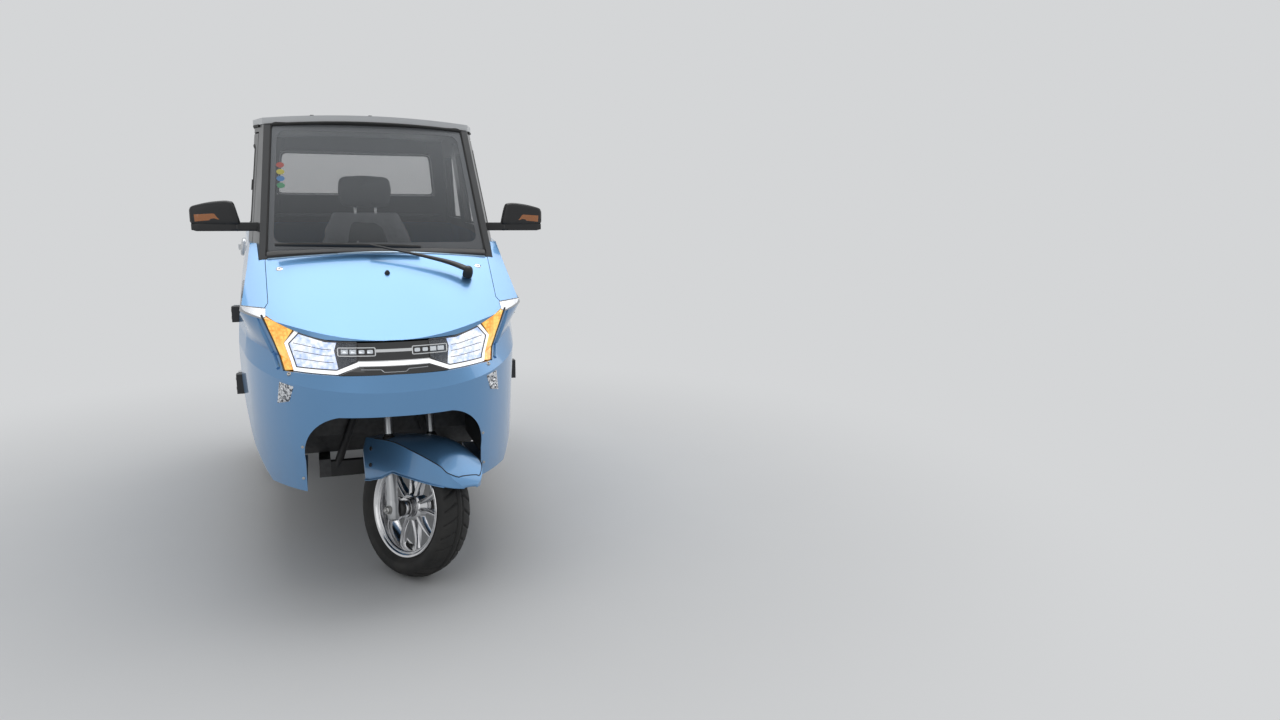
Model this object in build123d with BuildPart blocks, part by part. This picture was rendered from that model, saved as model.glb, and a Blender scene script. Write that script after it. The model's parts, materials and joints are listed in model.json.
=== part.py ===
import math
import os

from build123d import *

os.makedirs("parts", exist_ok=True)

# A light cabin tricycle: one steered front wheel on a telescopic fork, two driven rear wheels, and a closed
# cabin with two front-hinged doors. Millimetres. +Z is up, the nose points to -Y, +X is the vehicle's left.
# The origin is on the ground, under the middle of the vehicle's outer box. Distances along the vehicle are
# given behind the front axle, and the planes below put them in the part's frame.

# Driving dimensions
NOSE = -214.0
TAIL = 1976.0
GUARD_FRONT = -232.6
WHEELBASE = 1560.0
FRONT_AXLE = -(GUARD_FRONT + TAIL) / 2
TYRE_RADIUS = 236.5
REAR_TRACK = 872.0

# Body shell and doors
WAIST = 1108.0
SHELL_WALL = 12.0
DOOR_WALL = 34.0
SHUT_GAP = 6.0
PANEL_GAP = 2.0
DOOR_FRONT = 446.0
DOOR_REAR = 1150.0
DOOR_BOTTOM = 392.0
DOOR_TOP = 1496.0
FRAME_FRONT_TOP = 690.0
DOOR_AXIS_X = 494.0

# Nose, hood and lamps
HOOD_EDGE_Y = -138.0
HOOD_EDGE_Z = 829.0
HOOD_SLOPE = 32.0
HOOD_CROWN = 2900.0
LAMP_BOTTOM_Z = 737.0
CREASE_Z = 678.0
CREASE_RISE = 0.16
ARCH_HALF = 276.0
ARCH_TOP = 603.0
LENS_DEPTH = 22.0
TRAY_DEPTH = 50.0

# Glasshouse and roof
GLASSHOUSE_WALL = 30.0
GLASS_INSET = 8.0
GLASS_DEPTH = 14.0
BOND_WIDTH = 20.0
ROOF_TOP_Z = 1574.0
ROOF_WALL = 22.0
ROOF_CROWN = 3900.0
ROOF_SWEEP = 12000.0
ROOF_MIDDLE = 1080.0

# Steering: the axis leans back by RAKE and the hub sits FORK_OFFSET ahead of it
RAKE = 16.0
STEER_REST = 33.0
FORK_OFFSET = 110.0
FORK_TRACK = 178.0
AXIS_Y = 98.0
LEG_RADIUS = 19.0
STANCHION_RADIUS = 13.0
CROWN_RISE = 385.0
GUARD_WALL = 4.0
BAR_Z = 965.0

# Chassis
RAIL_X = 220.0
RAIL_Z = 270.0
FLOOR_Z = 340.0
FLOOR_HALF = 380.0
BULKHEAD_Y = 346.0
WELL_RADIUS = 290.0
WELL_X = 350.0
SPINDLE_RADIUS = 14.0
RUNNING_GAP = 0.05


def level(z, rise=0.0):
    """A plane at height z above the front axle, level or climbing towards the rear by rise per length."""
    return Plane(origin=(0, FRONT_AXLE, z), x_dir=(1, 0, 0), z_dir=(0, -rise, 1))


def station(y):
    """A cross plane y behind the front axle: first axis +X, second +Z, facing the nose."""
    return Plane(origin=(0, FRONT_AXLE + y, 0), x_dir=(1, 0, 0), z_dir=(0, -1, 0))


def flank(x=0.0):
    """A fore-and-aft plane at x: first axis rearwards from the front axle, second +Z."""
    return Plane(origin=(x, FRONT_AXLE, 0), x_dir=(0, 1, 0), z_dir=(1, 0, 0))


def spot(x, y, z):
    """A location from x, the distance behind the front axle and the height."""
    return Location((x, FRONT_AXLE + y, z))


def write(node, name):
    node.part.label = name
    export_step(node.part, f"parts/{name}.step")


def mirrored(points):
    """An open chain of points followed by its mirror image across the centre line."""
    return list(points) + [(-x, z) for x, z in reversed(points)]


# Cross-sections of the lower body. Columns: distance behind the axle, then half-width and height at the
# sill, at the bulge and at the shoulder.
TUNNEL = (
    (-330, 340, 345, 446, 660, 372, 1110),
    (60, 378, 345, 462, 680, 382, 1110),
    (240, 416, 342, 474, 690, 406, 1110),
    (440, 430, 338, 482, 690, 434, 1110),
    (1000, 458, 330, 502, 660, 474, 1130),
    (1600, 464, 330, 506, 640, 478, 1140),
    (2100, 440, 350, 490, 640, 462, 1140),
)

# Plan outlines of the nose. Columns: height over the axle, climb per length, nose centre, nose arc's end
# x and y, corner's end x and y.
NOSE_PLAN = (
    (250, 0, -176, 300, -30, 430, 230),
    (CREASE_Z - CREASE_RISE * NOSE, CREASE_RISE, NOSE, 330, -50, 454, 230),
    (LAMP_BOTTOM_Z + CREASE_RISE * 180, CREASE_RISE, -180, 325, 4, 446, 250),
    (915, 0, -98, 384, 12, 448, 240),
    (1190, 0, 60, 404, 130, 470, 300),
)

# Plan outlines of the tail. Columns: height, corner's start y, corner's end x and y, tail centre.
TAIL_PLAN = (
    (250, 1700, 420, 1880, 1912),
    (CREASE_Z, 1740, 430, 1940, TAIL),
    (915, 1710, 425, 1912, 1950),
    (1190, 1640, 415, 1832, 1868),
)
FLARE_X = 560.0
FLARE_Y = 780.0

# Plan outlines of the glasshouse. Columns: height, screen centre, screen corner x and y, door-front x and y,
# door-rear x and y, rear bend y, rear-corner end x and y, rear centre.
GLASSHOUSE = (
    (1030, 236, 396, 255, 443, 470, 474, 1000, 1720, 400, 1842, 1860),
    (1580, 590, 363, 663, 400, 822, 404, 1107, 1432, 325, 1537, 1555),
)


def lower_body(inset, hood_drop=None):
    """The lower body as a solid: a tunnel of cross-sections cut by the nose and tail and by the hood."""
    with BuildPart() as tunnel:
        for y, sill_x, sill_z, bulge_x, bulge_z, shoulder_x, shoulder_z in TUNNEL:
            foot = (sill_x - inset, sill_z + inset)
            bulge = (bulge_x - inset, bulge_z)
            shoulder = (shoulder_x - inset, shoulder_z - inset)
            with BuildSketch(station(y)):
                with BuildLine():
                    ThreePointArc(foot, bulge, shoulder)
                    Line(shoulder, (-shoulder[0], shoulder[1]))
                    ThreePointArc((-shoulder[0], shoulder[1]), (-bulge[0], bulge[1]), (-foot[0], foot[1]))
                    Line((-foot[0], foot[1]), foot)
                make_face()
        loft(ruled=True)
    with BuildPart() as nose:
        for z, rise, tip, nose_x, nose_y, corner_x, corner_y in NOSE_PLAN:
            near = (nose_x - 0.6 * inset, nose_y + 0.8 * inset)
            corner = (corner_x - inset, corner_y + 0.3 * inset)
            with BuildSketch(level(z, rise)):
                with BuildLine():
                    front = ThreePointArc((-near[0], near[1]), (0, tip + inset), near)
                    TangentArc(near, corner, tangent=front % 1)
                    Polyline(corner, (FLARE_X, FLARE_Y), (-FLARE_X, FLARE_Y), (-corner[0], corner[1]))
                    TangentArc((-near[0], near[1]), (-corner[0], corner[1]), tangent=(front % 0) * -1)
                make_face()
        loft(ruled=True)
    with BuildPart() as tail:
        for z, rear_y, tail_x, tail_y, end in TAIL_PLAN:
            rear = (FLARE_X, rear_y - inset)
            far = (tail_x, tail_y - inset)
            with BuildSketch(level(z)):
                with BuildLine():
                    ThreePointArc(far, (0, end - inset), (-far[0], far[1]))
                    Polyline((-far[0], far[1]), (-rear[0], rear[1]), (-FLARE_X, FLARE_Y - 40))
                    Polyline((-FLARE_X, FLARE_Y - 40), (FLARE_X, FLARE_Y - 40), rear, far)
                make_face()
        loft(ruled=True)
    ends = nose.part + tail.part
    drop = inset if hood_drop is None else hood_drop
    return (tunnel.part & ends) - above_hood(drop)


def above_hood(drop):
    """The space above the hood's crowned slope, lowered by drop."""
    slope = math.radians(HOOD_SLOPE)
    across = Plane(
        origin=(0, FRONT_AXLE + HOOD_EDGE_Y, HOOD_EDGE_Z),
        x_dir=(1, 0, 0),
        z_dir=(0, -math.cos(slope), -math.sin(slope)),
    )
    half, sag = 700.0, 700.0**2 / (2 * HOOD_CROWN)
    with BuildPart() as space:
        with BuildSketch(across):
            with BuildLine():
                ThreePointArc((-half, -sag - drop), (0, -drop), (half, -sag - drop))
                Polyline((half, -sag - drop), (half, 900), (-half, 900), (-half, -sag - drop))
            make_face()
        extrude(amount=700, both=True)
    return space.part


def glasshouse_outline(row, inset):
    """One plan outline of the glasshouse: a bowed screen, straight sides and a bowed rear."""
    z, screen, screen_x, screen_y, front_x, front_y, rear_x, rear_y, bend, tail_x, tail_y, tail = row
    corner = (screen_x - 0.8 * inset, screen_y + 0.6 * inset)
    ahead = (front_x - inset, front_y)
    behind = (rear_x - inset, rear_y)
    turn = (rear_x - inset, bend)
    end = (tail_x - 0.5 * inset, tail_y - inset)
    with BuildSketch(level(z)) as outline:
        with BuildLine():
            ThreePointArc((-corner[0], corner[1]), (0, screen + inset), corner)
            Polyline(corner, ahead, behind, turn, end)
            ThreePointArc(end, (0, tail - inset), (-end[0], end[1]))
            Polyline(*[(-x, y) for x, y in (end, turn, behind, ahead, corner)])
        make_face()
    return outline.sketch


def glasshouse(inset):
    """The upper cabin as a solid, straight-ruled from below the waist to above the roof."""
    with BuildPart() as upper:
        for row in GLASSHOUSE:
            add(glasshouse_outline(row, inset))
        loft(ruled=True)
    return upper.part


def under_roof(drop):
    """The space under the roof's double-crowned surface, lowered by drop."""
    with BuildPart() as space:
        with BuildSketch(station(ROOF_MIDDLE)):
            with BuildLine():
                half, sag = 600.0, 600.0**2 / (2 * ROOF_CROWN)
                top = ROOF_TOP_Z - drop
                ThreePointArc((-half, top - sag), (0, top), (half, top - sag))
                Polyline((half, top - sag), (half, 200), (-half, 200), (-half, top - sag))
            make_face()
        middle = Axis((0, FRONT_AXLE + ROOF_MIDDLE, ROOF_TOP_Z - ROOF_SWEEP), (1, 0, 0))
        revolve(axis=middle, revolution_arc=8)
    return space.part.rotate(middle, -4)


def outline_at(z, inset):
    """The glasshouse's plan outline at any height."""
    low, high = GLASSHOUSE
    share = (z - low[0]) / (high[0] - low[0])
    return glasshouse_outline([a + share * (b - a) for a, b in zip(low, high)], inset)


def prism(plane, points, length, grow=0.0, twin=False):
    """A straight prism of a closed outline drawn on a plane.

    A point is a line's end, or a pair of points that an arc passes and ends at. The outline is grown by grow,
    and twin adds its mirror image about the centre line.
    """
    with BuildPart() as solid:
        with BuildSketch(plane):
            with BuildLine():
                at = points[0]
                for step in (*points[1:], points[0]):
                    if isinstance(step[0], tuple):
                        ThreePointArc(at, *step)
                        at = step[1]
                    else:
                        Line(at, step)
                        at = step
            make_face()
            if twin:
                mirror(about=Plane.YZ)
            if grow:
                offset(amount=grow, kind=Kind.INTERSECTION)
        extrude(amount=length)
    return solid.part


def front_view(points, y_from, y_to, grow=0.0, twin=False):
    """A prism of a front-view outline, from y_from to y_to behind the axle."""
    return prism(station(y_to), points, y_to - y_from, grow, twin)


def side_view(points, x_from, x_to, grow=0.0):
    """A prism of a side-view outline, from x_from to x_to."""
    return prism(flank(x_from), points, x_to - x_from, grow)


def plan_view(points, z_from, z_to, grow=0.0):
    """A prism of a plan outline, from z_from to z_to."""
    return prism(level(z_from), points, z_to - z_from, grow)


def slab(y_from, y_to, z_from=0.0, z_to=1700.0, half=700.0):
    """A block across the vehicle between two distances behind the axle and two heights."""
    return side_view(((y_from, z_from), (y_to, z_from), (y_to, z_to), (y_from, z_to)), -half, half)


def rod(start, end, radius):
    """A round bar between two points given as x, distance behind the axle and height."""
    a = Vector(start[0], FRONT_AXLE + start[1], start[2])
    b = Vector(end[0], FRONT_AXLE + end[1], end[2])
    return Solid.make_cylinder(radius, (b - a).length, Plane(origin=a, z_dir=b - a))


def pair(*halves):
    """Left-hand solids and their mirror images on the right, in one node."""
    with BuildPart() as two:
        for half in halves:
            add(half)
            mirror(half, about=Plane.YZ)
    return two


def single(*solids):
    """Joined solids in one node."""
    with BuildPart() as one:
        for solid in solids:
            add(solid)
    return one


# Nested copies of the body forms, from which every panel is cut
outer = lower_body(0)
inner = lower_body(SHELL_WALL)
thick = lower_body(DOOR_WALL)
cabin_outer = glasshouse(0)
cabin_inner = glasshouse(SHELL_WALL)
cabin_thick = glasshouse(GLASSHOUSE_WALL)
panes = glasshouse(GLASS_INSET) - glasshouse(GLASS_DEPTH)
below_roof = under_roof(ROOF_WALL)

# Front views of the hood, the lamps and the wheel arch, as left-hand halves. The hood's edge is level in the
# middle and sweeps up to the outer corner of the lamps, and its side seams climb to the foot of the screen.
HOOD_CORNER = (386, 909)
HOOD_FACE = (
    (0, HOOD_EDGE_Z),
    ((110, 829.4), (200, 833)),
    ((295, 860), HOOD_CORNER),
    (366, 935),
    (376, 1064),
    (376, 1200),
    (0, 1200),
)
LAMP_BAND = (
    (0, 730),
    (170, 728),
    (325, 732),
    HOOD_CORNER,
    ((295, 860), (200, 833)),
    ((110, 829.4), (0, HOOD_EDGE_Z)),
)
INDICATOR = ((380, 903), (294, 860), (322, 818), (298, 737), (323, 734))
STRIP_OUTER = ((289, 858), (321, 818), (297, 736), (170, 732), (105, 757))
STRIP_INNER = ((107, 769), (172, 744), (289, 747), (309, 818), (279, 852))
HEADLAMP = ((110, 771), (172, 745), (288, 748), (308, 818), (278, 852), (200, 829), (110, 827))
CORNER_LAMP = ((342, 699), (300, 691), (315, 640), (352, 626))
ARCH = ((0, 200), (ARCH_HALF, 200), (ARCH_HALF, 450), ((252, 552), (172, ARCH_TOP - 2)), (0, ARCH_TOP))
strip_face = mirrored(STRIP_OUTER) + mirrored(STRIP_INNER[::-1])[::-1]

# Side views and plan views of the doors and windows. The rear shut faces slant forwards towards the inside,
# so that the door's rear edge swings clear of its jamb.
DOOR_SIDE = (
    (DOOR_FRONT, DOOR_BOTTOM),
    (DOOR_REAR + 40, DOOR_BOTTOM),
    (DOOR_REAR + 40, DOOR_TOP),
    (FRAME_FRONT_TOP, DOOR_TOP),
    (DOOR_FRONT, WAIST),
)
DOOR_WINDOW = ((522, 1158), (712, 1452), (1092, 1452), (1100, 1158))
QUARTER_WINDOW = ((1206, 1172), (1196, 1452), (1420, 1452), (1570, 1172))
REAR_WINDOW = ((370, 1274), (340, 1470), (-340, 1470), (-370, 1274))
SCREEN = ((352, 1090), (325, 1513), (-325, 1513), (-352, 1090))
SHUT_SLANT = 0.16


def behind_shut(gap):
    """The space behind the doors' slanted rear shut face, moved back by gap."""
    at = DOOR_REAR + gap
    depth = 300 * SHUT_SLANT
    edge = ((DOOR_AXIS_X - 300, at - depth), (DOOR_AXIS_X + 100, at + 100 * SHUT_SLANT))
    half = plan_view((*edge, (DOOR_AXIS_X + 100, 2200), (DOOR_AXIS_X - 300, 2200)), 200, 1700)
    middle = slab(at - depth, 2200, 200, 1700, DOOR_AXIS_X - 300)
    return half + mirror(half, about=Plane.YZ) + middle


rear_zone = behind_shut(SHUT_GAP)
jamb_zone = rear_zone - behind_shut(SHUT_GAP + 20)
door_zone = side_view(DOOR_SIDE, 300, 700) - behind_shut(0)
door_space = side_view(DOOR_SIDE, 300, 700, SHUT_GAP) - behind_shut(SHUT_GAP)
both_door_spaces = door_space + mirror(door_space, about=Plane.YZ)

# Clear corner lamps let into the ledge
corner_skin = lower_body(-4) - lower_body(6)
corner_lamps = pair(corner_skin & front_view(CORNER_LAMP, -400, 100))
write(corner_lamps, "corner_lamps")

# Front shell: apron, ledge and both fenders in one moulding, open at the wheel arch, the lamps and the hood
with BuildPart() as front_shell:
    add(outer)
    add(inner, mode=Mode.SUBTRACT)
    add((outer - thick) & slab(DOOR_FRONT - 26, DOOR_FRONT))
    add(slab(-400, DOOR_FRONT - SHUT_GAP), mode=Mode.INTERSECT)
    add(cabin_inner, mode=Mode.SUBTRACT)
    add(front_view(HOOD_FACE, -400, 500, twin=True), mode=Mode.SUBTRACT)
    add(front_view(LAMP_BAND, -400, 150, twin=True), mode=Mode.SUBTRACT)
    add(front_view(ARCH, -400, 500, twin=True), mode=Mode.SUBTRACT)
    add(slab(BULKHEAD_Y - 8, 500, 200, 900, FLOOR_HALF + 2), mode=Mode.SUBTRACT)
    add(corner_lamps.part, mode=Mode.SUBTRACT)
write(front_shell, "front_shell")

# Hood panel on the crowned slope
hood_skin = (outer & above_hood(SHELL_WALL)) & front_view(HOOD_FACE, -400, 330, -PANEL_GAP, twin=True)
hood = single(hood_skin - cabin_outer)
write(hood, "hood")

# Lamps across the nose: a recessed tray with a lower lip, two clear lenses, a light strip and indicators
lens_back = lower_body(LENS_DEPTH, SHELL_WALL)
tray = lower_body(LENS_DEPTH + 2, SHELL_WALL) - lower_body(TRAY_DEPTH, SHELL_WALL)
lens_skin = outer - lens_back
lip = front_view(((168, 729), (104, 756), (-104, 756), (-168, 729)), -400, 150, -1)
centre = front_view(((108, 771), (108, 826), (-108, 826), (-108, 771)), -400, 150, -1)
trim = (outer - lower_body(LENS_DEPTH + 4, SHELL_WALL)) & (lip + centre)
lamp_bar = single(tray & front_view(LAMP_BAND, -400, 200, -1, twin=True), trim)
write(lamp_bar, "lamp_bar")
headlamps = pair(lens_skin & front_view(HEADLAMP, -400, 150, -1))
write(headlamps, "headlamps")
indicators = pair(lens_skin & front_view(INDICATOR, -400, 150, -1))
write(indicators, "indicators")
light_strip = single(lens_skin & front_view(strip_face, -400, 150))
write(light_strip, "light_strip")

# Bright trims that run back from the lamps over the fenders
ACCENT = ((8, 911), (14, 892), (150, 926), (303, 983), (299, 990), (150, 944))
accents = pair((lower_body(-3) - outer) & side_view(ACCENT, 372, 600))
write(accents, "accents")

# Glasshouse frame: cowl, pillars, header and roof rails in one dark moulding around the screen and doors
cabin_wall = (cabin_outer - cabin_thick) & below_roof
screen_opening = front_view(SCREEN, 100, 1000)
rear_opening = front_view(REAR_WINDOW, 1350, 2000)
quarter_opening = side_view(QUARTER_WINDOW, 300, 600)
both_quarters = quarter_opening + mirror(quarter_opening, about=Plane.YZ)
screen_seat = front_view(SCREEN, 100, 1000, BOND_WIDTH)
rebate = (cabin_outer - glasshouse(GLASS_DEPTH)) & screen_seat
openings = screen_opening + rear_opening + both_quarters
cabin_frame = single(cabin_wall - outer - both_door_spaces - openings - rebate)
write(cabin_frame, "cabin_frame")
windshield = single((panes & screen_seat & below_roof) - outer)
write(windshield, "windshield")
rear_windows = single(panes & (rear_opening + both_quarters))
write(rear_windows, "rear_windows")

# Roof skin with a small overhang all round
with BuildPart() as roof:
    extrude(outline_at(1545, -8), amount=100, both=True)
    add(under_roof(0) - below_roof, mode=Mode.INTERSECT)
write(roof, "roof")

# Doors: a hollow lower shell, a window frame, the glass, and a handle with the door's hinge leaves
door_shell = ((outer - thick) & door_zone) - cabin_thick
door_frame = ((cabin_outer - cabin_thick) & door_zone) - outer - side_view(DOOR_WINDOW, 300, 600)
door_glass = panes & side_view(DOOR_WINDOW, 300, 600)
HINGES = ((578, 648), (834, 888))
HANDLE = ((1012, 1054), (1030, 1048), (1072, 1048), (1090, 1054), (1090, 1072), (1012, 1072))
HANDLE_OUT = 506.0
HINGE_OUT = 499.0
LEAF_OUT = HINGE_OUT - 4
grip = side_view(HANDLE, DOOR_AXIS_X - 24, HANDLE_OUT)
hardware = [grip - outer]
for low, high in HINGES:
    hardware.append(side_view(((447, low), (482, low), (482, high), (447, high)), DOOR_AXIS_X - 24, LEAF_OUT) - outer)
DOOR_NODES = (
    ("shell", [door_shell]),
    ("frame", [door_frame]),
    ("glass", [door_glass]),
    ("hardware", hardware),
)
for side, flip in (("left", 1), ("right", -1)):
    for name, solids in DOOR_NODES:
        placed = [solid if flip > 0 else mirror(solid, about=Plane.YZ) for solid in solids]
        write(single(*placed), f"door_{name}_{side}")

# Rear body: quarters and tail in one moulding, open below, with a jamb behind each door
wheel_cut = rod((WELL_X, WHEELBASE, TYRE_RADIUS), (WELL_X + 400, WHEELBASE, TYRE_RADIUS), WELL_RADIUS)
with BuildPart() as rear_body:
    add((outer & rear_zone) - inner)
    add((outer & jamb_zone) - thick)
    add(cabin_inner, mode=Mode.SUBTRACT)
    add(slab(1100, 1850, 200, 400, 430), mode=Mode.SUBTRACT)
    add(wheel_cut, mode=Mode.SUBTRACT)
    mirror(wheel_cut, about=Plane.YZ, mode=Mode.SUBTRACT)
write(rear_body, "rear_body")

# Tail lamps in the rear corners
TAIL_LAMP = ((398, 800), (398, 1010), (330, 990), (330, 820))
tail_lamps = pair((lower_body(-6) - outer) & front_view(TAIL_LAMP, 1700, 2100))
write(tail_lamps, "tail_lamps")

# Sills below the doors
sill_gap = slab(DOOR_FRONT, 1200, 200, DOOR_BOTTOM - SHUT_GAP)
sill_inside = slab(DOOR_FRONT, 1200, 200, 500, FLOOR_HALF)
sills = single(((outer & sill_gap) - rear_zone) - inner - sill_inside)
write(sills, "sills")

# Floor pan in one folded sheet: bulkhead, foot well, step under the seat's back and load floor
FLOOR_TOP = ((BULKHEAD_Y, 880), (BULKHEAD_Y, 420), (400, 346), (1060, 346), (1110, 546), (1880, 546))
FLOOR_FOOT = ((1880, 540), (1114, 540), (1064, FLOOR_Z), (397, FLOOR_Z), (340, 417), (340, 880))
with BuildPart() as floor_pan:
    add(side_view(FLOOR_TOP + FLOOR_FOOT, -FLOOR_HALF, FLOOR_HALF))
    add(slab(1115, 2000, 200, 700, 600) - slab(1115, 2000, 200, 700, WELL_X - 8), mode=Mode.SUBTRACT)
write(floor_pan, "floor_pan")

# Liners of the three wheel housings
front_liner = slab(-150, 340, 400, 664, 294) - slab(-160, 346, 300, 660, 290)
stem_hole = slab(130, 360, 600, 700, 110)
above_sill = slab(1200, 1900, 345, 600)


def well_disc(length, radius):
    """A round block on the rear axle's line, from the wheel housing's inner side outwards."""
    start = (WELL_X - 6, WHEELBASE, TYRE_RADIUS)
    return rod(start, (start[0] + length, WHEELBASE, TYRE_RADIUS), radius)


well_drum = well_disc(136, WELL_RADIUS) - well_disc(136, WELL_RADIUS - 5)
well = (well_disc(6, WELL_RADIUS) & above_sill) + (well_drum & above_sill & inner)
with BuildPart() as wheel_liners:
    add((front_liner & inner) - stem_hole)
    add(well)
    mirror(well, about=Plane.YZ)
write(wheel_liners, "wheel_liners")

# Chassis: two rails with cross members, a head tube on two struts, and hangers for the springs
def rail(x, y_from, y_to, half=20.0, low=RAIL_Z, high=FLOOR_Z):
    """A straight rectangular tube stood in for by a bar, along the vehicle."""
    return side_view(((y_from, low), (y_to, low), (y_to, high), (y_from, high)), x - half, x + half)


def on_axis(z):
    """The distance behind the axle of the steering axis at height z."""
    return AXIS_Y + (z - straight_z) * math.tan(rake)


rake = math.radians(RAKE)
steer = math.radians(STEER_REST)
lean = math.asin(math.sin(rake) * math.sin(steer))
rest_z = TYRE_RADIUS * math.cos(lean)
straight_z = rest_z + FORK_OFFSET * math.sin(rake) * (1 - math.cos(steer))
straight_y = AXIS_Y - FORK_OFFSET / math.cos(rake)
STEM_RADIUS = 14.0
HEAD_RADIUS = 27.0
HEAD_LOW = 676.0
HEAD_HIGH = 850.0
head_low = (0, on_axis(HEAD_LOW), HEAD_LOW)
head_high = (0, on_axis(HEAD_HIGH), HEAD_HIGH)
RAIL_HALF = 20.0
STRUT_RADIUS = 14.0
RAIL_FRONT = 312.0
CROSS_HALF = 14.0
HANGERS = (WHEELBASE - 330, WHEELBASE + 300)
hangers = [rail(1.22 * RAIL_X, y - CROSS_HALF, y + CROSS_HALF, 50, low=306) for y in HANGERS]
with BuildPart() as left_rail:
    add(rail(RAIL_X, RAIL_FRONT, 1840, RAIL_HALF, high=FLOOR_Z - 4))
    for hanger in hangers:
        add(hanger)
write(pair(left_rail.part), "frame_rails")
with BuildPart() as frame:
    for y in (326, 700, 1090, 1800):
        add(rail(0, y - CROSS_HALF, y + CROSS_HALF, RAIL_X - RAIL_HALF, high=FLOOR_Z - 14))
    for x in (-RAIL_X, RAIL_X):
        add(rod((0.82 * x, 326, 300), (0.1 * x, on_axis(760) + 12, 760), STRUT_RADIUS))
    add(rod(head_low, head_high, HEAD_RADIUS))
    add(rod(head_low, head_high, STEM_RADIUS + 5), mode=Mode.SUBTRACT)
write(frame, "frame")

# Rear axle with its motor and gear case, on two leaf springs
SPRING_TOP = ((1212, 306), (1240, 306), (1400, 286), (1720, 286), (1860, 306), (1880, 306))
SPRING_FOOT = ((1880, 296), (1720, 266), (1400, 266), (1212, 296))
SPRING_X = 290.0
SPRING_HALF = 25.0
SPINDLE_END = REAR_TRACK / 2 + 30
GEAR_CASE = ((-52, 30), (-34, 74), (0, 88), (34, 74), (52, 30))
GEAR_X = 40.0
MOTOR_Y = WHEELBASE - 120
MOTOR_Z = TYRE_RADIUS + 16
with BuildPart() as gear_case:
    with BuildSketch(Plane.XY):
        with BuildLine():
            Polyline((-52, 0), *GEAR_CASE, (52, 0), close=True)
        make_face()
    revolve(axis=Axis.X)
with BuildPart() as rear_axle:
    add(rod((-340, WHEELBASE, TYRE_RADIUS), (340, WHEELBASE, TYRE_RADIUS), 30))
    add(rod((-SPINDLE_END, WHEELBASE, TYRE_RADIUS), (SPINDLE_END, WHEELBASE, TYRE_RADIUS), SPINDLE_RADIUS))
    add(gear_case.part.moved(spot(GEAR_X, WHEELBASE, TYRE_RADIUS)))
    add(rod((-150, MOTOR_Y, MOTOR_Z), (60, MOTOR_Y, MOTOR_Z), 78))
    for x in (-SPRING_X, SPRING_X):
        add(side_view(SPRING_TOP + SPRING_FOOT, x - SPRING_HALF, x + SPRING_HALF))
write(rear_axle, "rear_axle")

# Seat on a box over the battery
battery = single(slab(690, 1000, FLOOR_Z + 7, 530, 190))
write(battery, "battery")
seat_box = slab(650, 1054, FLOOR_Z + 6, 560, 230) - slab(656, 1048, FLOOR_Z + 6, 550, 224)
seat_base = single(seat_box)
write(seat_base, "seat_base")
CUSHION = ((640, 561), (640, 625), (670, 645), (1000, 632), (1000, 561))
seat_cushion = single(side_view(CUSHION, -228, 228))
write(seat_cushion, "seat_cushion")
BACK_REAR = ((1001, 600), (1060, 600), (1130, 1225), (1110, 1368))
BACK_FACE = ((1050, 1360), (1064, 1210), (1060, 1150), (1001, 640))
BACK_SIDE = BACK_REAR + BACK_FACE
BACK_WIDTH = ((215, 500), (215, 900), (178, 1046), (155, 1106), (128, 1149), (112, 1200))
HEAD_WIDTH = ((86, 1212), (100, 1240), (92, 1368))
BACK_FRONT = BACK_WIDTH + HEAD_WIDTH
seat_back = single(side_view(BACK_SIDE, -300, 300) & front_view(mirrored(BACK_FRONT), 900, 1200))
write(seat_back, "seat_back")

# Dash across the foot well, notched for the steering column
DASH = ((340, 262), (410, 346), (415, 436), (-415, 436), (-410, 346), (-340, 262))
NOTCH = ((-40, 200), (40, 200), (40, 350), (-40, 350))
dash_block = (plan_view(DASH, 881, 920) & inner) - plan_view(NOTCH, 800, 1000)
dash = single(dash_block)
write(dash, "dash")

# Mirrors on the front pillars, wiper at the foot of the screen, and the body side of the door hinges
MIRROR_TOP = ((452, 1190), (462, 1240), (490, 1255), (562, 1252))
MIRROR = MIRROR_TOP + ((608, 1232), (608, 1162), (598, 1152), (452, 1152))
MIRROR_Y = 405.0
MIRROR_ARM = ((390, 1148), (480, 1152), (480, 1190), (390, 1184))
with BuildPart() as mirror_head:
    add(front_view(MIRROR, MIRROR_Y, MIRROR_Y + 20))
    with BuildSketch(station(MIRROR_Y)):
        with BuildLine():
            Polyline(*MIRROR, close=True)
        make_face()
    extrude(amount=26, taper=24)
arm = front_view(MIRROR_ARM, MIRROR_Y - 9, MIRROR_Y + 13) - cabin_outer
mirrors = pair(mirror_head.part + arm)
write(mirrors, "mirrors")
WIPER_RADIUS = 5.0
wiper_boss = rod((282, 150, 1004), (282, 140, 1032), 14)
wiper_arm = rod((282, 142, 1026), (-19, 236, 1108), WIPER_RADIUS)
wiper_blade = rod((-341, 268, 1108), (136, 252, 1098), WIPER_RADIUS)
wiper = single(wiper_boss + wiper_arm, wiper_blade)
write(wiper, "wiper")
hinge_blocks = []
for low, high in HINGES:
    hinge_blocks.append(side_view(((398, low), (434, low), (434, high), (398, high)), 440, HINGE_OUT) - outer)
hinges = pair(*hinge_blocks)
write(hinges, "hinges")

# Wheels, drawn about an axle along +X at the origin and then placed
TYRE = ((156, 39), (168, 40), (196, 60), (220, 50), (232.2, 26.4), (TYRE_RADIUS, 0))
RIM_EDGE = ((166, 46), (166, 40.5), (155.5, 39.5), (146, 18))
RIM_BORE = ((160, 46), (146, 32), (140, 16))


def across(points):
    """Radius and half-width pairs as an outline around a wheel's axis: out along +X and back along -X."""
    return [(a, r) for r, a in points] + [(-a, r) for r, a in reversed(points) if a]


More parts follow.
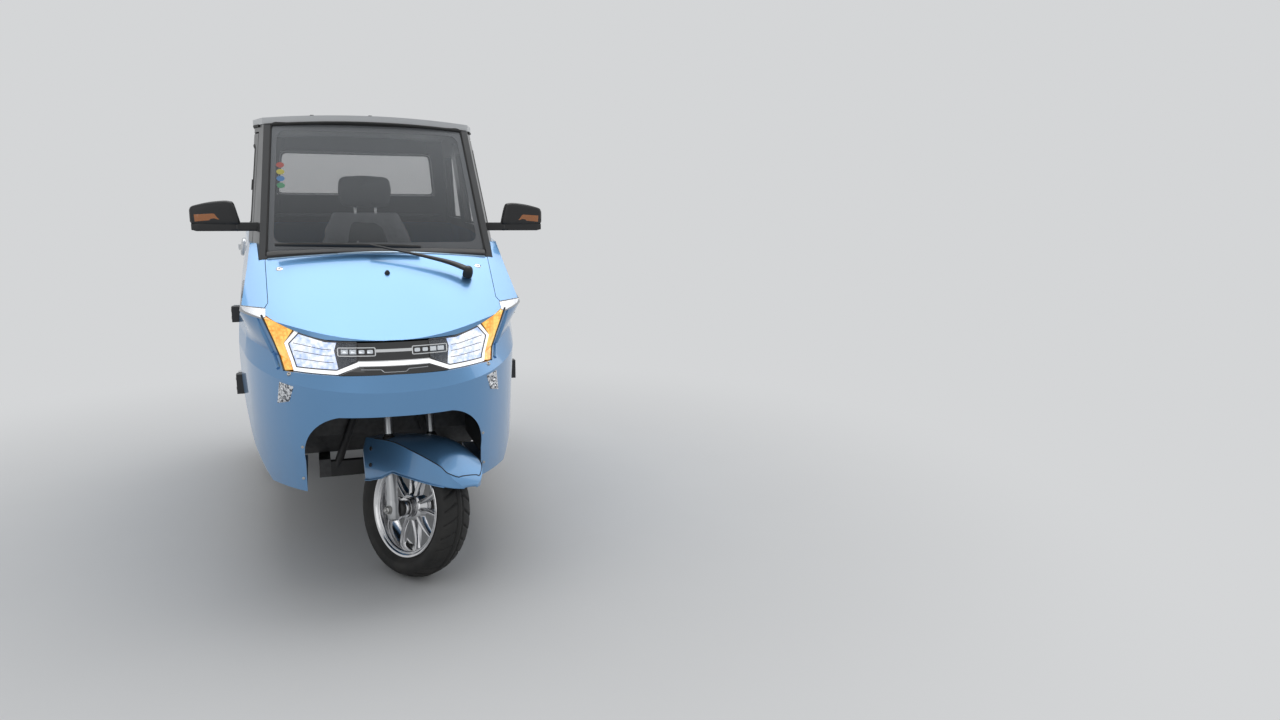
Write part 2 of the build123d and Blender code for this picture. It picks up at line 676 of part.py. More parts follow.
def wheel_tyre():
    """A tyre as a ring with bulged walls and a rounded tread, of straight facets."""
    with BuildPart() as tyre:
        with BuildSketch(Plane.XY):
            with BuildLine():
                Polyline(*across(TYRE), close=True)
            make_face()
        revolve(axis=Axis.X)
    return tyre.part


def wheel_rim(hub_half, bore):
    """A cast wheel: a drop-centre rim, a ribbed hub and five looped spokes."""
    with BuildPart() as rim:
        with BuildSketch(Plane.XY):
            with BuildLine():
                Polyline(*across(RIM_EDGE), *reversed(across(RIM_BORE)), close=True)
            make_face()
        revolve(axis=Axis.X)
    with BuildPart() as spokes:
        with BuildSketch(Plane.YZ.offset(-14)):
            with PolarLocations(0, 5, start_angle=90):
                with BuildSketch(mode=Mode.PRIVATE) as loop:
                    with Locations((44, 0)):
                        Circle(15)
                    with Locations((116, 0)):
                        Circle(34)
                    make_hull()
                add(loop.sketch)
            with PolarLocations(0, 5, start_angle=90):
                with BuildSketch(mode=Mode.PRIVATE) as gap:
                    with Locations((60, 0)):
                        Circle(5)
                    with Locations((117, 0)):
                        Circle(20)
                    make_hull()
                add(gap.sketch, mode=Mode.SUBTRACT)
        extrude(amount=28)
        with BuildSketch(Plane.XY):
            with BuildLine():
                half = hub_half
                Polyline((-half, 0), (-half, 34), (-18, 44), (18, 44), (half, 34), (half, 0), close=True)
            make_face()
        revolve(axis=Axis.X)
    with BuildPart() as wheel:
        add(rim)
        add(spokes)
        Cylinder(bore, 400, rotation=(0, 90, 0), mode=Mode.SUBTRACT)
    return wheel.part


FRONT_SPINDLE = 8.0
front_rim_part = wheel_rim(52, FRONT_SPINDLE + RUNNING_GAP)
rear_rim_part = wheel_rim(40, SPINDLE_RADIUS + RUNNING_GAP)
tyre_part = wheel_tyre()
for side, x in (("left", REAR_TRACK / 2), ("right", -REAR_TRACK / 2)):
    centre_at = spot(x, WHEELBASE, TYRE_RADIUS)
    write(single(rear_rim_part.moved(centre_at)), f"rear_rim_{side}")
    write(single(tyre_part.moved(centre_at)), f"rear_tyre_{side}")

# Steered parts, drawn straight ahead and then turned about the steering axis to the parked angle
steering_axis = Axis((0, FRONT_AXLE + AXIS_Y, straight_z), (0, math.sin(rake), math.cos(rake)))
hub = Vector(0, straight_y, straight_z)
upward = Vector(0, math.sin(rake), math.cos(rake))


def steered(solid):
    return solid.rotate(steering_axis, STEER_REST)


def beside(x, rise):
    """A point beside the wheel's hub, raised along the fork."""
    at = hub + upward * rise
    return (x, at.Y, at.Z)


hub_at = spot(0, straight_y, straight_z)
write(single(steered(front_rim_part.moved(hub_at))), "front_rim")
write(single(steered(tyre_part.moved(hub_at))), "front_tyre")

leg_x = FORK_TRACK / 2
crown_at = Plane(
    origin=tuple(Vector(0, FRONT_AXLE, 0) + hub + upward * CROWN_RISE),
    x_dir=(1, 0, 0),
    z_dir=tuple(upward),
)
LEG_TOP = 235.0
LEG_FOOT = -30.0
with BuildPart() as fork:
    for x in (-leg_x, leg_x):
        add(rod(beside(x, LEG_FOOT), beside(x, LEG_TOP), LEG_RADIUS))
        add(rod(beside(x, LEG_TOP), beside(x, CROWN_RISE), STANCHION_RADIUS))
    add(rod((-leg_x, straight_y, straight_z), (leg_x, straight_y, straight_z), FRONT_SPINDLE))
    with BuildSketch(crown_at):
        with Locations((-leg_x, 0), (leg_x, 0), (0, FORK_OFFSET)):
            Circle(25)
        make_hull()
    extrude(amount=22)
    add(rod((0, on_axis(580), 580), (0, on_axis(BAR_Z), BAR_Z), STEM_RADIUS))
write(single(steered(fork.part)), "fork")

# Mudguard: a flat-bottomed hood over the wheel whose side flaps are bolted to the fork legs. Columns:
# distance ahead of the hub, half-width, and the heights of the crease and the crown above the hub.
GUARD = (
    (-170, 114, 212, 222),
    (-20, 114, 229, 250),
    (90, 108, 219, 256),
    (165, 97, 206, 232),
    (212, 82, 190, 197),
    (245, 58, 158, 162),
    (262, 26, 134, 136),
)
GUARD_FOOT = ((-134, 75), (-59, 97), (0, 129), (264, 131))
GUARD_REAR = ((264, 300), (-150, 300), (-156, 220), (-165, 165))


def guard_form(inset):
    """The mudguard's form as a solid about the hub, with its faces moved in by inset."""
    with BuildPart() as form:
        for ahead, half, crease, crown in GUARD:
            side, low, edge = half - inset, 40 - inset, crease - inset
            at = Plane(origin=(0, inset - ahead, 0), x_dir=(1, 0, 0), z_dir=(0, -1, 0))
            with BuildSketch(at):
                with BuildLine():
                    ThreePointArc((side, edge), (0, crown - inset), (-side, edge))
                    Polyline((-side, edge), (-side, low), (side, low), (side, edge))
                make_face()
        loft(ruled=True)
    return form.part


guard_plane = Plane(origin=(200, 0, 0), x_dir=(0, -1, 0), z_dir=(-1, 0, 0))
guard_side = prism(guard_plane, GUARD_FOOT + GUARD_REAR, 400)
guard_skin = (guard_form(0) - guard_form(GUARD_WALL)) & guard_side
with BuildPart() as front_fender:
    add(guard_skin.moved(hub_at))
    for x in (-leg_x, leg_x):
        add(rod(beside(x, 120), beside(x, CROWN_RISE), LEG_RADIUS + 3), mode=Mode.SUBTRACT)
write(single(steered(front_fender.part)), "front_fender")

# Handlebar swept back from the column, with grips
BAR = ((0, 0, 0), (90, 0, 6), (178, 58, 8), (290, 140, 0))
BAR_RADIUS = 11.0
GRIP_RADIUS = 17.0
bar_y = on_axis(BAR_Z)
with BuildPart() as bar:
    for p, q in zip(BAR[:2], BAR[1:3]):
        for flip in (-1, 1):
            start = (flip * p[0], bar_y + p[1], BAR_Z + p[2])
            end = (flip * q[0], bar_y + q[1], BAR_Z + q[2])
            add(rod(start, end, BAR_RADIUS))
write(single(steered(bar.part - fork.part)), "handlebar")
with BuildPart() as grips:
    for flip in (-1, 1):
        p, q = BAR[2], BAR[3]
        add(rod((flip * p[0], bar_y + p[1], BAR_Z + p[2]), (flip * q[0], bar_y + q[1], BAR_Z + q[2]), GRIP_RADIUS))
write(single(steered(grips.part - bar.part)), "grips")
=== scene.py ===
"""A light-blue three-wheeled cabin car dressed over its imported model.

+Z is up, the nose points to -Y and +X is the car's left-hand side. The tables below are in millimetres, as x,
distance behind the front axle and height; Datum turns them into the frame's metres.
"""

import json
import logging
import math
from dataclasses import dataclass, field
from enum import Enum
from typing import Callable, Sequence

import bmesh
import bpy
import numpy as np
from mathutils import Matrix

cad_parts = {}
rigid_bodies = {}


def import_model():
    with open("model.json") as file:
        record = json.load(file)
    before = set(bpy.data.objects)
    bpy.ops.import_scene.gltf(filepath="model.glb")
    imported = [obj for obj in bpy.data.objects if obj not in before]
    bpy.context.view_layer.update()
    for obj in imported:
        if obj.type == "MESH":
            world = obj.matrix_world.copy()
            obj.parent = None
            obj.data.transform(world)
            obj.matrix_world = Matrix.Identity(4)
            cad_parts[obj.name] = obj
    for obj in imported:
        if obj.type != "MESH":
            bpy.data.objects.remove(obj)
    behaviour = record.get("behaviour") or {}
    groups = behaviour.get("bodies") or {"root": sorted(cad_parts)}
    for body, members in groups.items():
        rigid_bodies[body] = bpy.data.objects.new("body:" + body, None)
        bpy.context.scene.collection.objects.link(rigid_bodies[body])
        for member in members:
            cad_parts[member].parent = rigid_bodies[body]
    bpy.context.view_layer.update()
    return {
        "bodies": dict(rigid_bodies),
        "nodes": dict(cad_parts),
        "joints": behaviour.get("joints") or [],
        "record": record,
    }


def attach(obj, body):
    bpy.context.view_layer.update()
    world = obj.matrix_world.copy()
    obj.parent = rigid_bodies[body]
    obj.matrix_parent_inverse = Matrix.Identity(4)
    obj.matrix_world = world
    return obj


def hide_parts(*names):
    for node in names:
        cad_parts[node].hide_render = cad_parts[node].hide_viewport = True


LOG = logging.getLogger("three_wheeled_car")
WHEELBASE = 1.56
MILLIMETRE = 0.001
SHARP_ANGLE = math.radians(38)
WELD, SLIVER = 2e-6, 1e-7

Colour = tuple[float, float, float]
Point = tuple[float, float, float]
Flat = tuple[float, float]
Socket = bpy.types.NodeSocket

FRONT: Point = (0.0, -1.0, 0.0)
REAR: Point = (0.0, 1.0, 0.0)
UP: Point = (0.0, 0.0, 1.0)
REAR_HUB: Point = (436.0, 1560.0, 236.5)
SCREEN_OUT: Point = (0.0, -0.84, 0.54)
REAR_WINDOW_OUT: Point = (0.0, 0.87, 0.5)
BORDER_OUT: Point = (0.0, -0.8, 0.5)


class Body(str, Enum):
    """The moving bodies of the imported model."""

    SHELL = "body"
    DOOR_LEFT = "door_left"
    DOOR_RIGHT = "door_right"
    STEERING = "steering"
    FRONT_WHEEL = "front_wheel"
    REAR_LEFT = "rear_wheel_left"
    REAR_RIGHT = "rear_wheel_right"


class Side(Enum):
    """The car's two sides, by the sign of x, with their words and door bodies."""

    LEFT = 1
    RIGHT = -1

    @property
    def word(self) -> str:
        """The side's name in lower case."""
        return self.name.lower()

    @property
    def door(self) -> Body:
        """The door body on this side."""
        return Body.DOOR_LEFT if self is Side.LEFT else Body.DOOR_RIGHT

    @property
    def out(self) -> Point:
        """The direction away from the car's middle."""
        return (float(self.value), 0.0, 0.0)

    def only_left(self, *nodes: str) -> tuple[str, ...]:
        """The nodes on the left and none on the right, for nodes that hold both sides."""
        return nodes if self is Side.LEFT else ()


class Form(Enum):
    """How a grid of points closes: whether its rows join, its columns join and its ends are capped."""

    SHEET = (False, False, False)
    DISC = (False, True, False)
    TUBE = (False, True, True)
    SPUN = (True, False, False)
    RING = (True, True, False)


@dataclass(frozen=True)
class Datum:
    """Turns millimetres behind the front axle into the frame's metres."""

    axle_y: float

    @classmethod
    def from_frame(cls, frame: dict) -> "Datum":
        """Reads the rear wheel's joint and steps forward by the wheelbase."""
        rear = next(j for j in frame["joints"] if j["name"] == "rear_wheel_left_spin")
        return cls(rear["pos_m"][1] - WHEELBASE)

    def place(self, points: object) -> np.ndarray:
        """Places points given in millimetres."""
        return np.asarray(points, float) * MILLIMETRE + (0.0, self.axle_y, 0.0)

    def unplace(self, point: Sequence[float]) -> np.ndarray:
        """Turns a point of the frame back into millimetres behind the axle."""
        return (np.asarray(point, float) - (0.0, self.axle_y, 0.0)) / MILLIMETRE


# Curves and surfaces, all as whole arrays of points


def joined(*axes: object) -> np.ndarray:
    """Joins coordinates, each a number or an array, into points along a new last axis."""
    return np.stack(np.broadcast_arrays(*axes), -1)


def unit(count: int) -> np.ndarray:
    """Evenly spaced values from 0 to 1."""
    return np.linspace(0, 1, count)


def grid_faces(rows: int, columns: int, wrap_rows: bool, wrap_columns: bool) -> np.ndarray:
    """Vertex numbers of the quads of a grid; a wrapped direction joins its last line to its first."""
    n = np.pad(np.arange(rows * columns).reshape(rows, columns), ((0, int(wrap_rows)), (0, int(wrap_columns))), "wrap")
    return joined(n[:-1, :-1], n[:-1, 1:], n[1:, 1:], n[1:, :-1]).reshape(-1, 4)


def circle(sides: int, radius: float = 1.0) -> np.ndarray:
    """Points of a circle: (radius cos t, radius sin t) for t evenly over a full turn."""
    turn = np.linspace(0.0, 2.0 * math.pi, sides, endpoint=False)
    return radius * joined(np.cos(turn), np.sin(turn))


def squircle(half_a: float, half_b: float, sides: int = 32, power: float = 4.0) -> np.ndarray:
    """Points of a rounded rectangle: |a/half_a|^power + |b/half_b|^power = 1, by angle."""
    ring = circle(sides)
    return ring * (np.abs(ring) ** power).sum(-1, keepdims=True) ** (-1.0 / power) * (half_a, half_b)


def sections(wide: object, tall: object, sides: int, power: float = 4.0) -> np.ndarray:
    """A rounded rectangle for each step of a path, from its half-width and half-height there."""
    return squircle(1.0, 1.0, sides, power)[None] * joined(wide, tall)[:, None]


def filled(loop: np.ndarray, shares: Sequence[float], middle: Sequence[float] = (0.0, 0.0)) -> np.ndarray:
    """Copies of an outline drawn towards a middle, each at its share of the outline's size."""
    return np.stack([np.asarray(middle) + (loop - middle) * share for share in shares])


def resampled(points: Sequence[Sequence[float]], count: int) -> np.ndarray:
    """A chain of straight runs sampled at evenly spaced distances along it.

    Args:
        points: the corners of the chain.
        count: the number of samples.

    Returns:
        The samples, one row each.
    """
    p = np.asarray(points, float)
    run = np.concatenate([[0.0], np.cumsum(np.linalg.norm(np.diff(p, axis=0), axis=1))])
    at = np.linspace(0.0, run[-1], count)
    return np.stack([np.interp(at, run, p[:, k]) for k in range(p.shape[1])], -1)


def smooth_path(points: Sequence[Sequence[float]], count: int, closed: bool = False) -> np.ndarray:
    """A Catmull-Rom curve through the points: each span is the usual cubic blend of four neighbours.

    Args:
        points: the points that the curve passes.
        count: the number of samples.
        closed: whether the curve returns to its first point.

    Returns:
        The samples, one row each.
    """
    p = np.asarray(points, float)
    if closed:
        p = np.vstack([p[-1:], p, p[:2]])
        where = np.linspace(0, len(points), count, endpoint=False)
    else:
        p = np.vstack([2 * p[:1] - p[1:2], p, 2 * p[-1:] - p[-2:-1]])
        where = np.linspace(0, len(points) - 1 - 1e-9, count)
    i = where.astype(int)
    t = (where - i)[:, None]
    a, b, c, d = p[i], p[i + 1], p[i + 2], p[i + 3]
    return 0.5 * (2 * b + (c - a) * t + (2 * a - 5 * b + 4 * c - d) * t**2 + (3 * b - a - 3 * c + d) * t**3)


def along(path: np.ndarray, profile: np.ndarray, up: Point = UP, closed: bool = False) -> np.ndarray:
    """Carries a flat profile along a path.

    Point (i, j) is path i plus profile j's first value along the side direction, which is the tangent crossed
    with up, and its second along the side crossed with the tangent.

    Args:
        path: points, one row each.
        profile: rows of two lengths, or one such array per path point.
        up: the direction that the profile's second axis leans to.
        closed: whether the path returns to its first point.

    Returns:
        A grid of points, path by profile.
    """
    if closed:
        tangent = np.roll(path, -1, axis=0) - np.roll(path, 1, axis=0)
    else:
        tangent = np.gradient(path, axis=0)
    tangent = tangent / np.linalg.norm(tangent, axis=1, keepdims=True)
    side = np.cross(tangent, np.asarray(up, float))
    side /= np.linalg.norm(side, axis=1, keepdims=True)
    lift = np.cross(side, tangent)
    shape = np.broadcast_to(profile, (len(path),) + np.asarray(profile).shape[-2:])
    return path[:, None] + shape[..., :1] * side[:, None] + shape[..., 1:] * lift[:, None]


def four_sided(low: np.ndarray, high: np.ndarray, start: np.ndarray, end: np.ndarray) -> np.ndarray:
    """A patch between four edges: the blends of both pairs of opposite edges added, less the corners' blend.

    Args:
        low: the edge at v = 0, by u.
        high: the edge at v = 1, by u.
        start: the edge at u = 0, by v.
        end: the edge at u = 1, by v.

    Returns:
        A grid of points, v by u.
    """
    u = unit(len(low))[None, :, None]
    v = unit(len(start))[:, None, None]
    edges = (1 - v) * low[None] + v * high[None] + (1 - u) * start[:, None] + u * end[:, None]
    corners = (1 - u) * (1 - v) * low[0] + u * (1 - v) * low[-1] + (1 - u) * v * high[0] + u * v * high[-1]
    return edges - corners


def basis(axis: Sequence[float], guide: Sequence[float] = UP) -> np.ndarray:
    """Three unit rows: guide crossed with the axis, the axis crossed with that, and the axis.

    Args:
        axis: the axis, of any length.
        guide: a direction that is not along the axis.

    Returns:
        The three rows.
    """
    w = np.asarray(axis, float) / np.linalg.norm(axis)
    g = np.asarray(guide, float)
    g = g if abs(np.dot(g / np.linalg.norm(g), w)) < 0.98 else np.array((0.0, 1.0, 0.0))
    u = np.cross(g, w)
    u /= np.linalg.norm(u)
    return np.stack([u, np.cross(w, u), w])


def turned(profile: object, centre: Sequence[float], axis: Sequence[float], steps: int) -> np.ndarray:
    """Spins a profile about an axis.

    Point (i, j) is the centre plus profile j's first value along the axis plus its second, the radius, along a
    direction turned by i steps about the axis.

    Args:
        profile: rows of distance along the axis and radius.
        centre: a point on the axis.
        axis: the axis direction.
        steps: the number of steps in a turn.

    Returns:
        A grid of points, steps by profile.
    """
    u, v, w = basis(axis)
    turn = circle(steps)
    radial = turn[:, :1] * u + turn[:, 1:] * v
    p = np.asarray(profile, float)
    return np.asarray(centre, float) + p[None, :, :1] * w + p[None, :, 1:] * radial[:, None]


def smoothstep(x: np.ndarray, low: float, high: float) -> np.ndarray:
    """0 below low, 1 above high and the usual cubic ease between."""
    t = np.clip((np.asarray(x, float) - low) / (high - low), 0.0, 1.0)
    return t * t * (3.0 - 2.0 * t)


# Shaders


class Nodes:
    """A node tree under construction, with short calls to add and join nodes."""

    def __init__(self, tree: bpy.types.NodeTree) -> None:
        """Keeps the tree and clears it."""
        self.tree = tree
        self.tree.nodes.clear()

    def add(self, kind: str, settings: dict | None = None, **inputs: object) -> bpy.types.Node:
        """Adds a node.

        Args:
            kind: the node's type name without its ShaderNode prefix, or a group's name after "group:".
            settings: properties to set on the node.
            **inputs: values or sockets for the inputs, with spaces as underscores, or n0, n1 and so on by number.

        Returns:
            The new node.
        """
        if kind.startswith("group:"):
            node = self.tree.nodes.new("ShaderNodeGroup")
            node.node_tree = bpy.data.node_groups[kind[6:]]
        else:
            node = self.tree.nodes.new(kind if kind.startswith("Node") else f"ShaderNode{kind}")
        for key, value in (settings or {}).items():
            setattr(node, key, value)
        for key, value in inputs.items():
            numbered = key[0] == "n" and key[1:].isdigit()
            self.feed(node, int(key[1:]) if numbered else key.replace("_", " "), value)
        return node

    def feed(self, node: bpy.types.Node, key: str | int, value: object) -> None:
        """Sets a socket to a value, or links another socket into it.

        Args:
            node: the node.
            key: the socket's name or number.
            value: a value, or the socket to link.
        """
        socket = node.inputs[key]
        if isinstance(value, Socket):
            self.tree.links.new(value, socket)
        elif isinstance(value, tuple) and len(value) == 3 and socket.type == "RGBA":
            socket.default_value = (*value, 1.0)
        else:
            socket.default_value = value

    def math(self, operation: str, *values: object) -> Socket:
        """Adds a Math node over values or sockets and returns its result."""
        return self.add("Math", {"operation": operation}, **{f"n{k}": v for k, v in enumerate(values)}).outputs[0]

    def ramp(self, value: object, low: float, high: float, to_low: float = 0.0, to_high: float = 1.0) -> Socket:
        """Maps a value from one range to another, held at the ends."""
        node = self.add("MapRange", Value=value, From_Min=low, From_Max=high, To_Min=to_low, To_Max=to_high)
        return node.outputs[0]

    def mixed(self, mask: object, first: object, second: object) -> Socket:
        """Mixes two colours by a mask."""
        return self.add("Mix", {"data_type": "RGBA"}, n0=mask, n6=first, n7=second).outputs[2]

    def place(self) -> Socket:
        """The Object coordinates."""
        return self.add("TexCoord").outputs["Object"]

    def finish(self, shader: bpy.types.Node) -> None:
        """Joins a shader to the material's output."""
        self.add("OutputMaterial", Surface=shader.outputs[0])


def shared_group(name: str, inputs: dict[str, float], output: str, build: Callable) -> None:
    """Makes a shader node group of float inputs and one float output.

    Args:
        name: the group's name.
        inputs: float inputs and their starting values.
        output: the output's name.
        build: called with the Nodes and the group's input sockets; returns the socket to put out.
    """
    tree = bpy.data.node_groups.new(name, "ShaderNodeTree")
    for key, value in inputs.items():
        tree.interface.new_socket(key, in_out="INPUT", socket_type="NodeSocketFloat").default_value = value
    tree.interface.new_socket(output, in_out="OUTPUT", socket_type="NodeSocketFloat")
    nodes = Nodes(tree)
    entry = nodes.add("NodeGroupInput")
    leave = nodes.add("NodeGroupOutput")
    nodes.feed(leave, output, build(nodes, entry.outputs))


def build_shared_groups() -> None:
    """Makes the groups that several finishes use: grain, drift, road dust, edge wear and lamp cells."""

    def grain(nodes: Nodes, given: object) -> Socket:
        """Fine moulded or cast grain as a height: noise with a share of cells.

        Args:
            nodes: the group's tree.
            given: the group's input sockets.

        Returns:
            The height.
        """
        place = nodes.place()
        noise = nodes.add("TexNoise", Vector=place, Scale=given["Scale"], Detail=3.0, Roughness=0.6)
        cells = nodes.add("TexVoronoi", {"feature": "F1"}, Vector=place, Scale=given["Scale"])
        mix = nodes.add("Mix", {"data_type": "FLOAT"}, Factor=given["Cells"], n2=noise.outputs[0], n3=cells.outputs[0])
        return mix.outputs[0]

    def drift(nodes: Nodes, given: object) -> Socket:
        """Slow unevenness from 0 to 1, for colour and roughness."""
        noise = nodes.add("TexNoise", Vector=nodes.place(), Scale=given["Scale"], Detail=5.0, Roughness=0.55)
        return nodes.ramp(noise.outputs[0], 0.3, 0.7)

    def dust(nodes: Nodes, given: object) -> Socket:
        """Road dirt: full at the ground, fading to nothing at a height, broken up by noise.

        Args:
            nodes: the group's tree.
            given: the group's input sockets.

        Returns:
            The mask.
        """
        place = nodes.place()
        height = nodes.add("SeparateXYZ", Vector=place).outputs["Z"]
        fade = nodes.add("MapRange", Value=height, From_Min=0.0, From_Max=given["Top"], To_Min=1.0, To_Max=0.0)
        noise = nodes.add("TexNoise", Vector=place, Scale=14.0, Detail=8.0, Roughness=0.68)
        both = nodes.math("MULTIPLY", fade.outputs[0], nodes.ramp(noise.outputs[0], 0.38, 0.68))
        return nodes.math("MULTIPLY", both, given["Amount"])

    def wear(nodes: Nodes, given: object) -> Socket:
        """Rubbed outer edges, from the surface's pointiness broken up by noise.

        Args:
            nodes: the group's tree.
            given: the group's input sockets.

        Returns:
            The mask.
        """
        point = nodes.add("NewGeometry").outputs["Pointiness"]
        noise = nodes.add("TexNoise", Vector=nodes.place(), Scale=60.0, Detail=6.0)
        both = nodes.math("MULTIPLY", nodes.ramp(point, 0.52, 0.62), noise.outputs[0])
        return nodes.math("MULTIPLY", both, given["Amount"])

    def cells(nodes: Nodes, given: object) -> Socket:
        """Small lamp optics, 1 at a cell's middle and 0 at its edge, in rows across the car's width and height.

        Args:
            nodes: the group's tree.
            given: the group's input sockets.

        Returns:
            The value.
        """
        flat = nodes.add("VectorMath", {"operation": "MULTIPLY"}, n0=nodes.place(), n1=(1.0, 0.35, 1.0))
        square = {"feature": "F1", "distance": "CHEBYCHEV"}
        voronoi = nodes.add("TexVoronoi", square, Scale=given["Scale"], Randomness=given["Loose"])
        nodes.feed(voronoi, "Vector", flat.outputs[0])
        return nodes.ramp(voronoi.outputs["Distance"], 0.15, 0.6, 1.0, 0.0)

    shared_group("grain", {"Scale": 400.0, "Cells": 0.3}, "Height", grain)
    shared_group("drift", {"Scale": 3.0}, "Value", drift)
    shared_group("road_dust", {"Top": 0.5, "Amount": 0.3}, "Mask", dust)
    shared_group("edge_wear", {"Amount": 0.3}, "Mask", wear)
    shared_group("lamp_cells", {"Scale": 100.0, "Loose": 0.3}, "Value", cells)


@dataclass(frozen=True)
class Look:
    """A named material for a slot of the record; each kind adds its own shader."""

    name: str
    slot: str

    def material(self) -> bpy.types.Material:
        """Builds the material when it is first asked for.

        Returns:
            The material.
        """
        if self.name not in bpy.data.materials:
            made = bpy.data.materials.new(self.name)
            made.use_nodes = True
            nodes = Nodes(made.node_tree)
            nodes.finish(self.shader(nodes))
        return bpy.data.materials[self.name]

    def shader(self, nodes: Nodes) -> bpy.types.Node:
        """Adds the shader, which each kind defines."""
        raise NotImplementedError


@dataclass(frozen=True)
class Finish(Look):
    """An opaque finish: a drifting colour with grain, road dust and rubbed edges.

    The grain holds its scale, its depth and its share of cells.
    """

    colour: Colour
    roughness: float = 0.5
    metallic: float = 0.0
    coat: float = 0.0
    drift: float = 0.12
    drift_scale: float = 4.0
    grain: tuple[float, float, float] = (500.0, 0.02, 0.3)
    dust: float = 0.0
    dust_top: float = 0.45
    wear: float = 0.0
    wear_colour: Colour = (0.3, 0.3, 0.3)
    dust_colour: Colour = (0.16, 0.14, 0.12)

    def shader(self, nodes: Nodes) -> bpy.types.Node:
        """Adds the shader and its inputs.

        Args:
            nodes: the material's tree.

        Returns:
            The shader.
        """
        drift = nodes.add("group:drift", Scale=self.drift_scale).outputs[0]
        dark = tuple(c * (1.0 - self.drift) for c in self.colour)
        light = tuple(min(1.0, c * (1.0 + self.drift)) for c in self.colour)
        colour = nodes.mixed(drift, dark, light)
        if self.wear:
            colour = nodes.mixed(nodes.add("group:edge_wear", Amount=self.wear).outputs[0], colour, self.wear_colour)
        if self.dust:
            mask = nodes.add("group:road_dust", Top=self.dust_top, Amount=self.dust).outputs[0]
            colour = nodes.mixed(mask, colour, self.dust_colour)
        rough = nodes.ramp(drift, 0.0, 1.0, max(0.02, self.roughness * 0.85), min(1.0, self.roughness * 1.2))
        scale, depth, cells = self.grain
        height = nodes.add("group:grain", Scale=scale, Cells=cells).outputs[0]
        bump = nodes.add("Bump", Height=height, Strength=min(1.0, depth * 20), Distance=depth * 0.004)
        shader = nodes.add("BsdfPrincipled", Base_Color=colour, Roughness=rough, Normal=bump.outputs[0])
        nodes.feed(shader, "Metallic", self.metallic)
        nodes.feed(shader, "Coat Weight", self.coat)
        nodes.feed(shader, "Coat Roughness", 0.04)
        return shader


@dataclass(frozen=True)
class Glazing(Look):
    """A clear or tinted pane or lens, seen through by its alpha; where its bottom colour is a darker share of its top
    colour, it grows paler and hazier towards its top as a painted sky reflection.
    """

    tint: Colour
    alpha: float
    roughness: float = 0.02
    low: float = 1.08
    high: float = 1.5
    low_share: float = 1.0
    ripple_scale: float = 0.0
    ripple: float = 0.0

    def shader(self, nodes: Nodes) -> bpy.types.Node:
        """Adds the shader and its inputs.

        Args:
            nodes: the material's tree.

        Returns:
            The shader.
        """
        height = nodes.add("SeparateXYZ", Vector=nodes.place()).outputs["Z"]
        # Painted reflection: the colour pales with height from a darker share to the full colour, standing in for the
        # sky reflected more strongly near the top.
        rise = nodes.ramp(height, self.low, self.high)
        drift = nodes.add("group:drift", Scale=2.5).outputs[0]
        mask = nodes.ramp(nodes.math("MULTIPLY_ADD", drift, 0.12, rise), 0.0, 1.12)
        colour = nodes.mixed(mask, tuple(c * self.low_share for c in self.tint), self.tint)
        rough = nodes.ramp(drift, 0.0, 1.0, self.roughness, self.roughness * 1.5)
        shader = nodes.add("BsdfPrincipled", Base_Color=colour, Roughness=rough, Alpha=self.alpha, IOR=1.52)
        if self.ripple:
            bumps = nodes.add("group:grain", Scale=self.ripple_scale, Cells=1.0).outputs[0]
            nodes.feed(shader, "Normal", nodes.add("Bump", Height=bumps, Strength=1.0, Distance=self.ripple).outputs[0])
        return shader


@dataclass(frozen=True)
class Glow(Look):
    """A lit lamp face: an emitting colour, dimmer between its small optics."""

    bright: Colour
    dim: Colour
    strength: float
    cell_scale: float = 120.0
    loose: float = 0.3

    def shader(self, nodes: Nodes) -> bpy.types.Node:
        """Adds the shader and its inputs.

        Args:
            nodes: the material's tree.

        Returns:
            The shader.
        """
        cell = nodes.add("group:lamp_cells", Scale=self.cell_scale, Loose=self.loose).outputs[0]
        patch = nodes.ramp(nodes.add("group:drift", Scale=22.0).outputs[0], 0.3, 0.7)
        mask = nodes.math("MULTIPLY_ADD", patch, 0.7, nodes.math("MULTIPLY_ADD", cell, 0.5, 0.05))
        colour = nodes.mixed(mask, self.dim, self.bright)
        unlit = [tuple(0.45 * c for c in colour) for colour in (self.dim, self.bright)]
        shader = nodes.add("BsdfPrincipled", Base_Color=nodes.mixed(cell, *unlit), Roughness=0.12)
        nodes.feed(shader, "Coat Weight", 1.0)
        nodes.feed(shader, "Emission Color", colour)
        nodes.feed(shader, "Emission Strength", self.strength)
        return shader


@dataclass(frozen=True)
class Facets(Look):
    """A clear moulding over bright foil: small flat facets that differ from dark to bright, a painted reflection of
    what each facet mirrors.
    """

    dark: Colour
    bright: Colour
    scale: float = 160.0

    def shader(self, nodes: Nodes) -> bpy.types.Node:
        """Adds the shader and its inputs.

        Args:
            nodes: the material's tree.

        Returns:
            The shader.
        """
        # Painted reflection: each cell's colour is set between dark and bright, standing in for the different
        # surroundings that each facet mirrors.
        cells = nodes.add("TexVoronoi", {"feature": "F1"}, Vector=nodes.place(), Scale=self.scale)
        lot = nodes.add("SeparateColor", Color=cells.outputs["Color"]).outputs[0]
        colour = nodes.mixed(nodes.ramp(lot, 0.25, 0.75), self.dark, self.bright)
        shader = nodes.add("BsdfPrincipled", Base_Color=colour, Roughness=nodes.ramp(lot, 0.0, 1.0, 0.05, 0.3))
        nodes.feed(shader, "Metallic", 0.7)
        nodes.feed(shader, "Coat Weight", 1.0)
        return shader


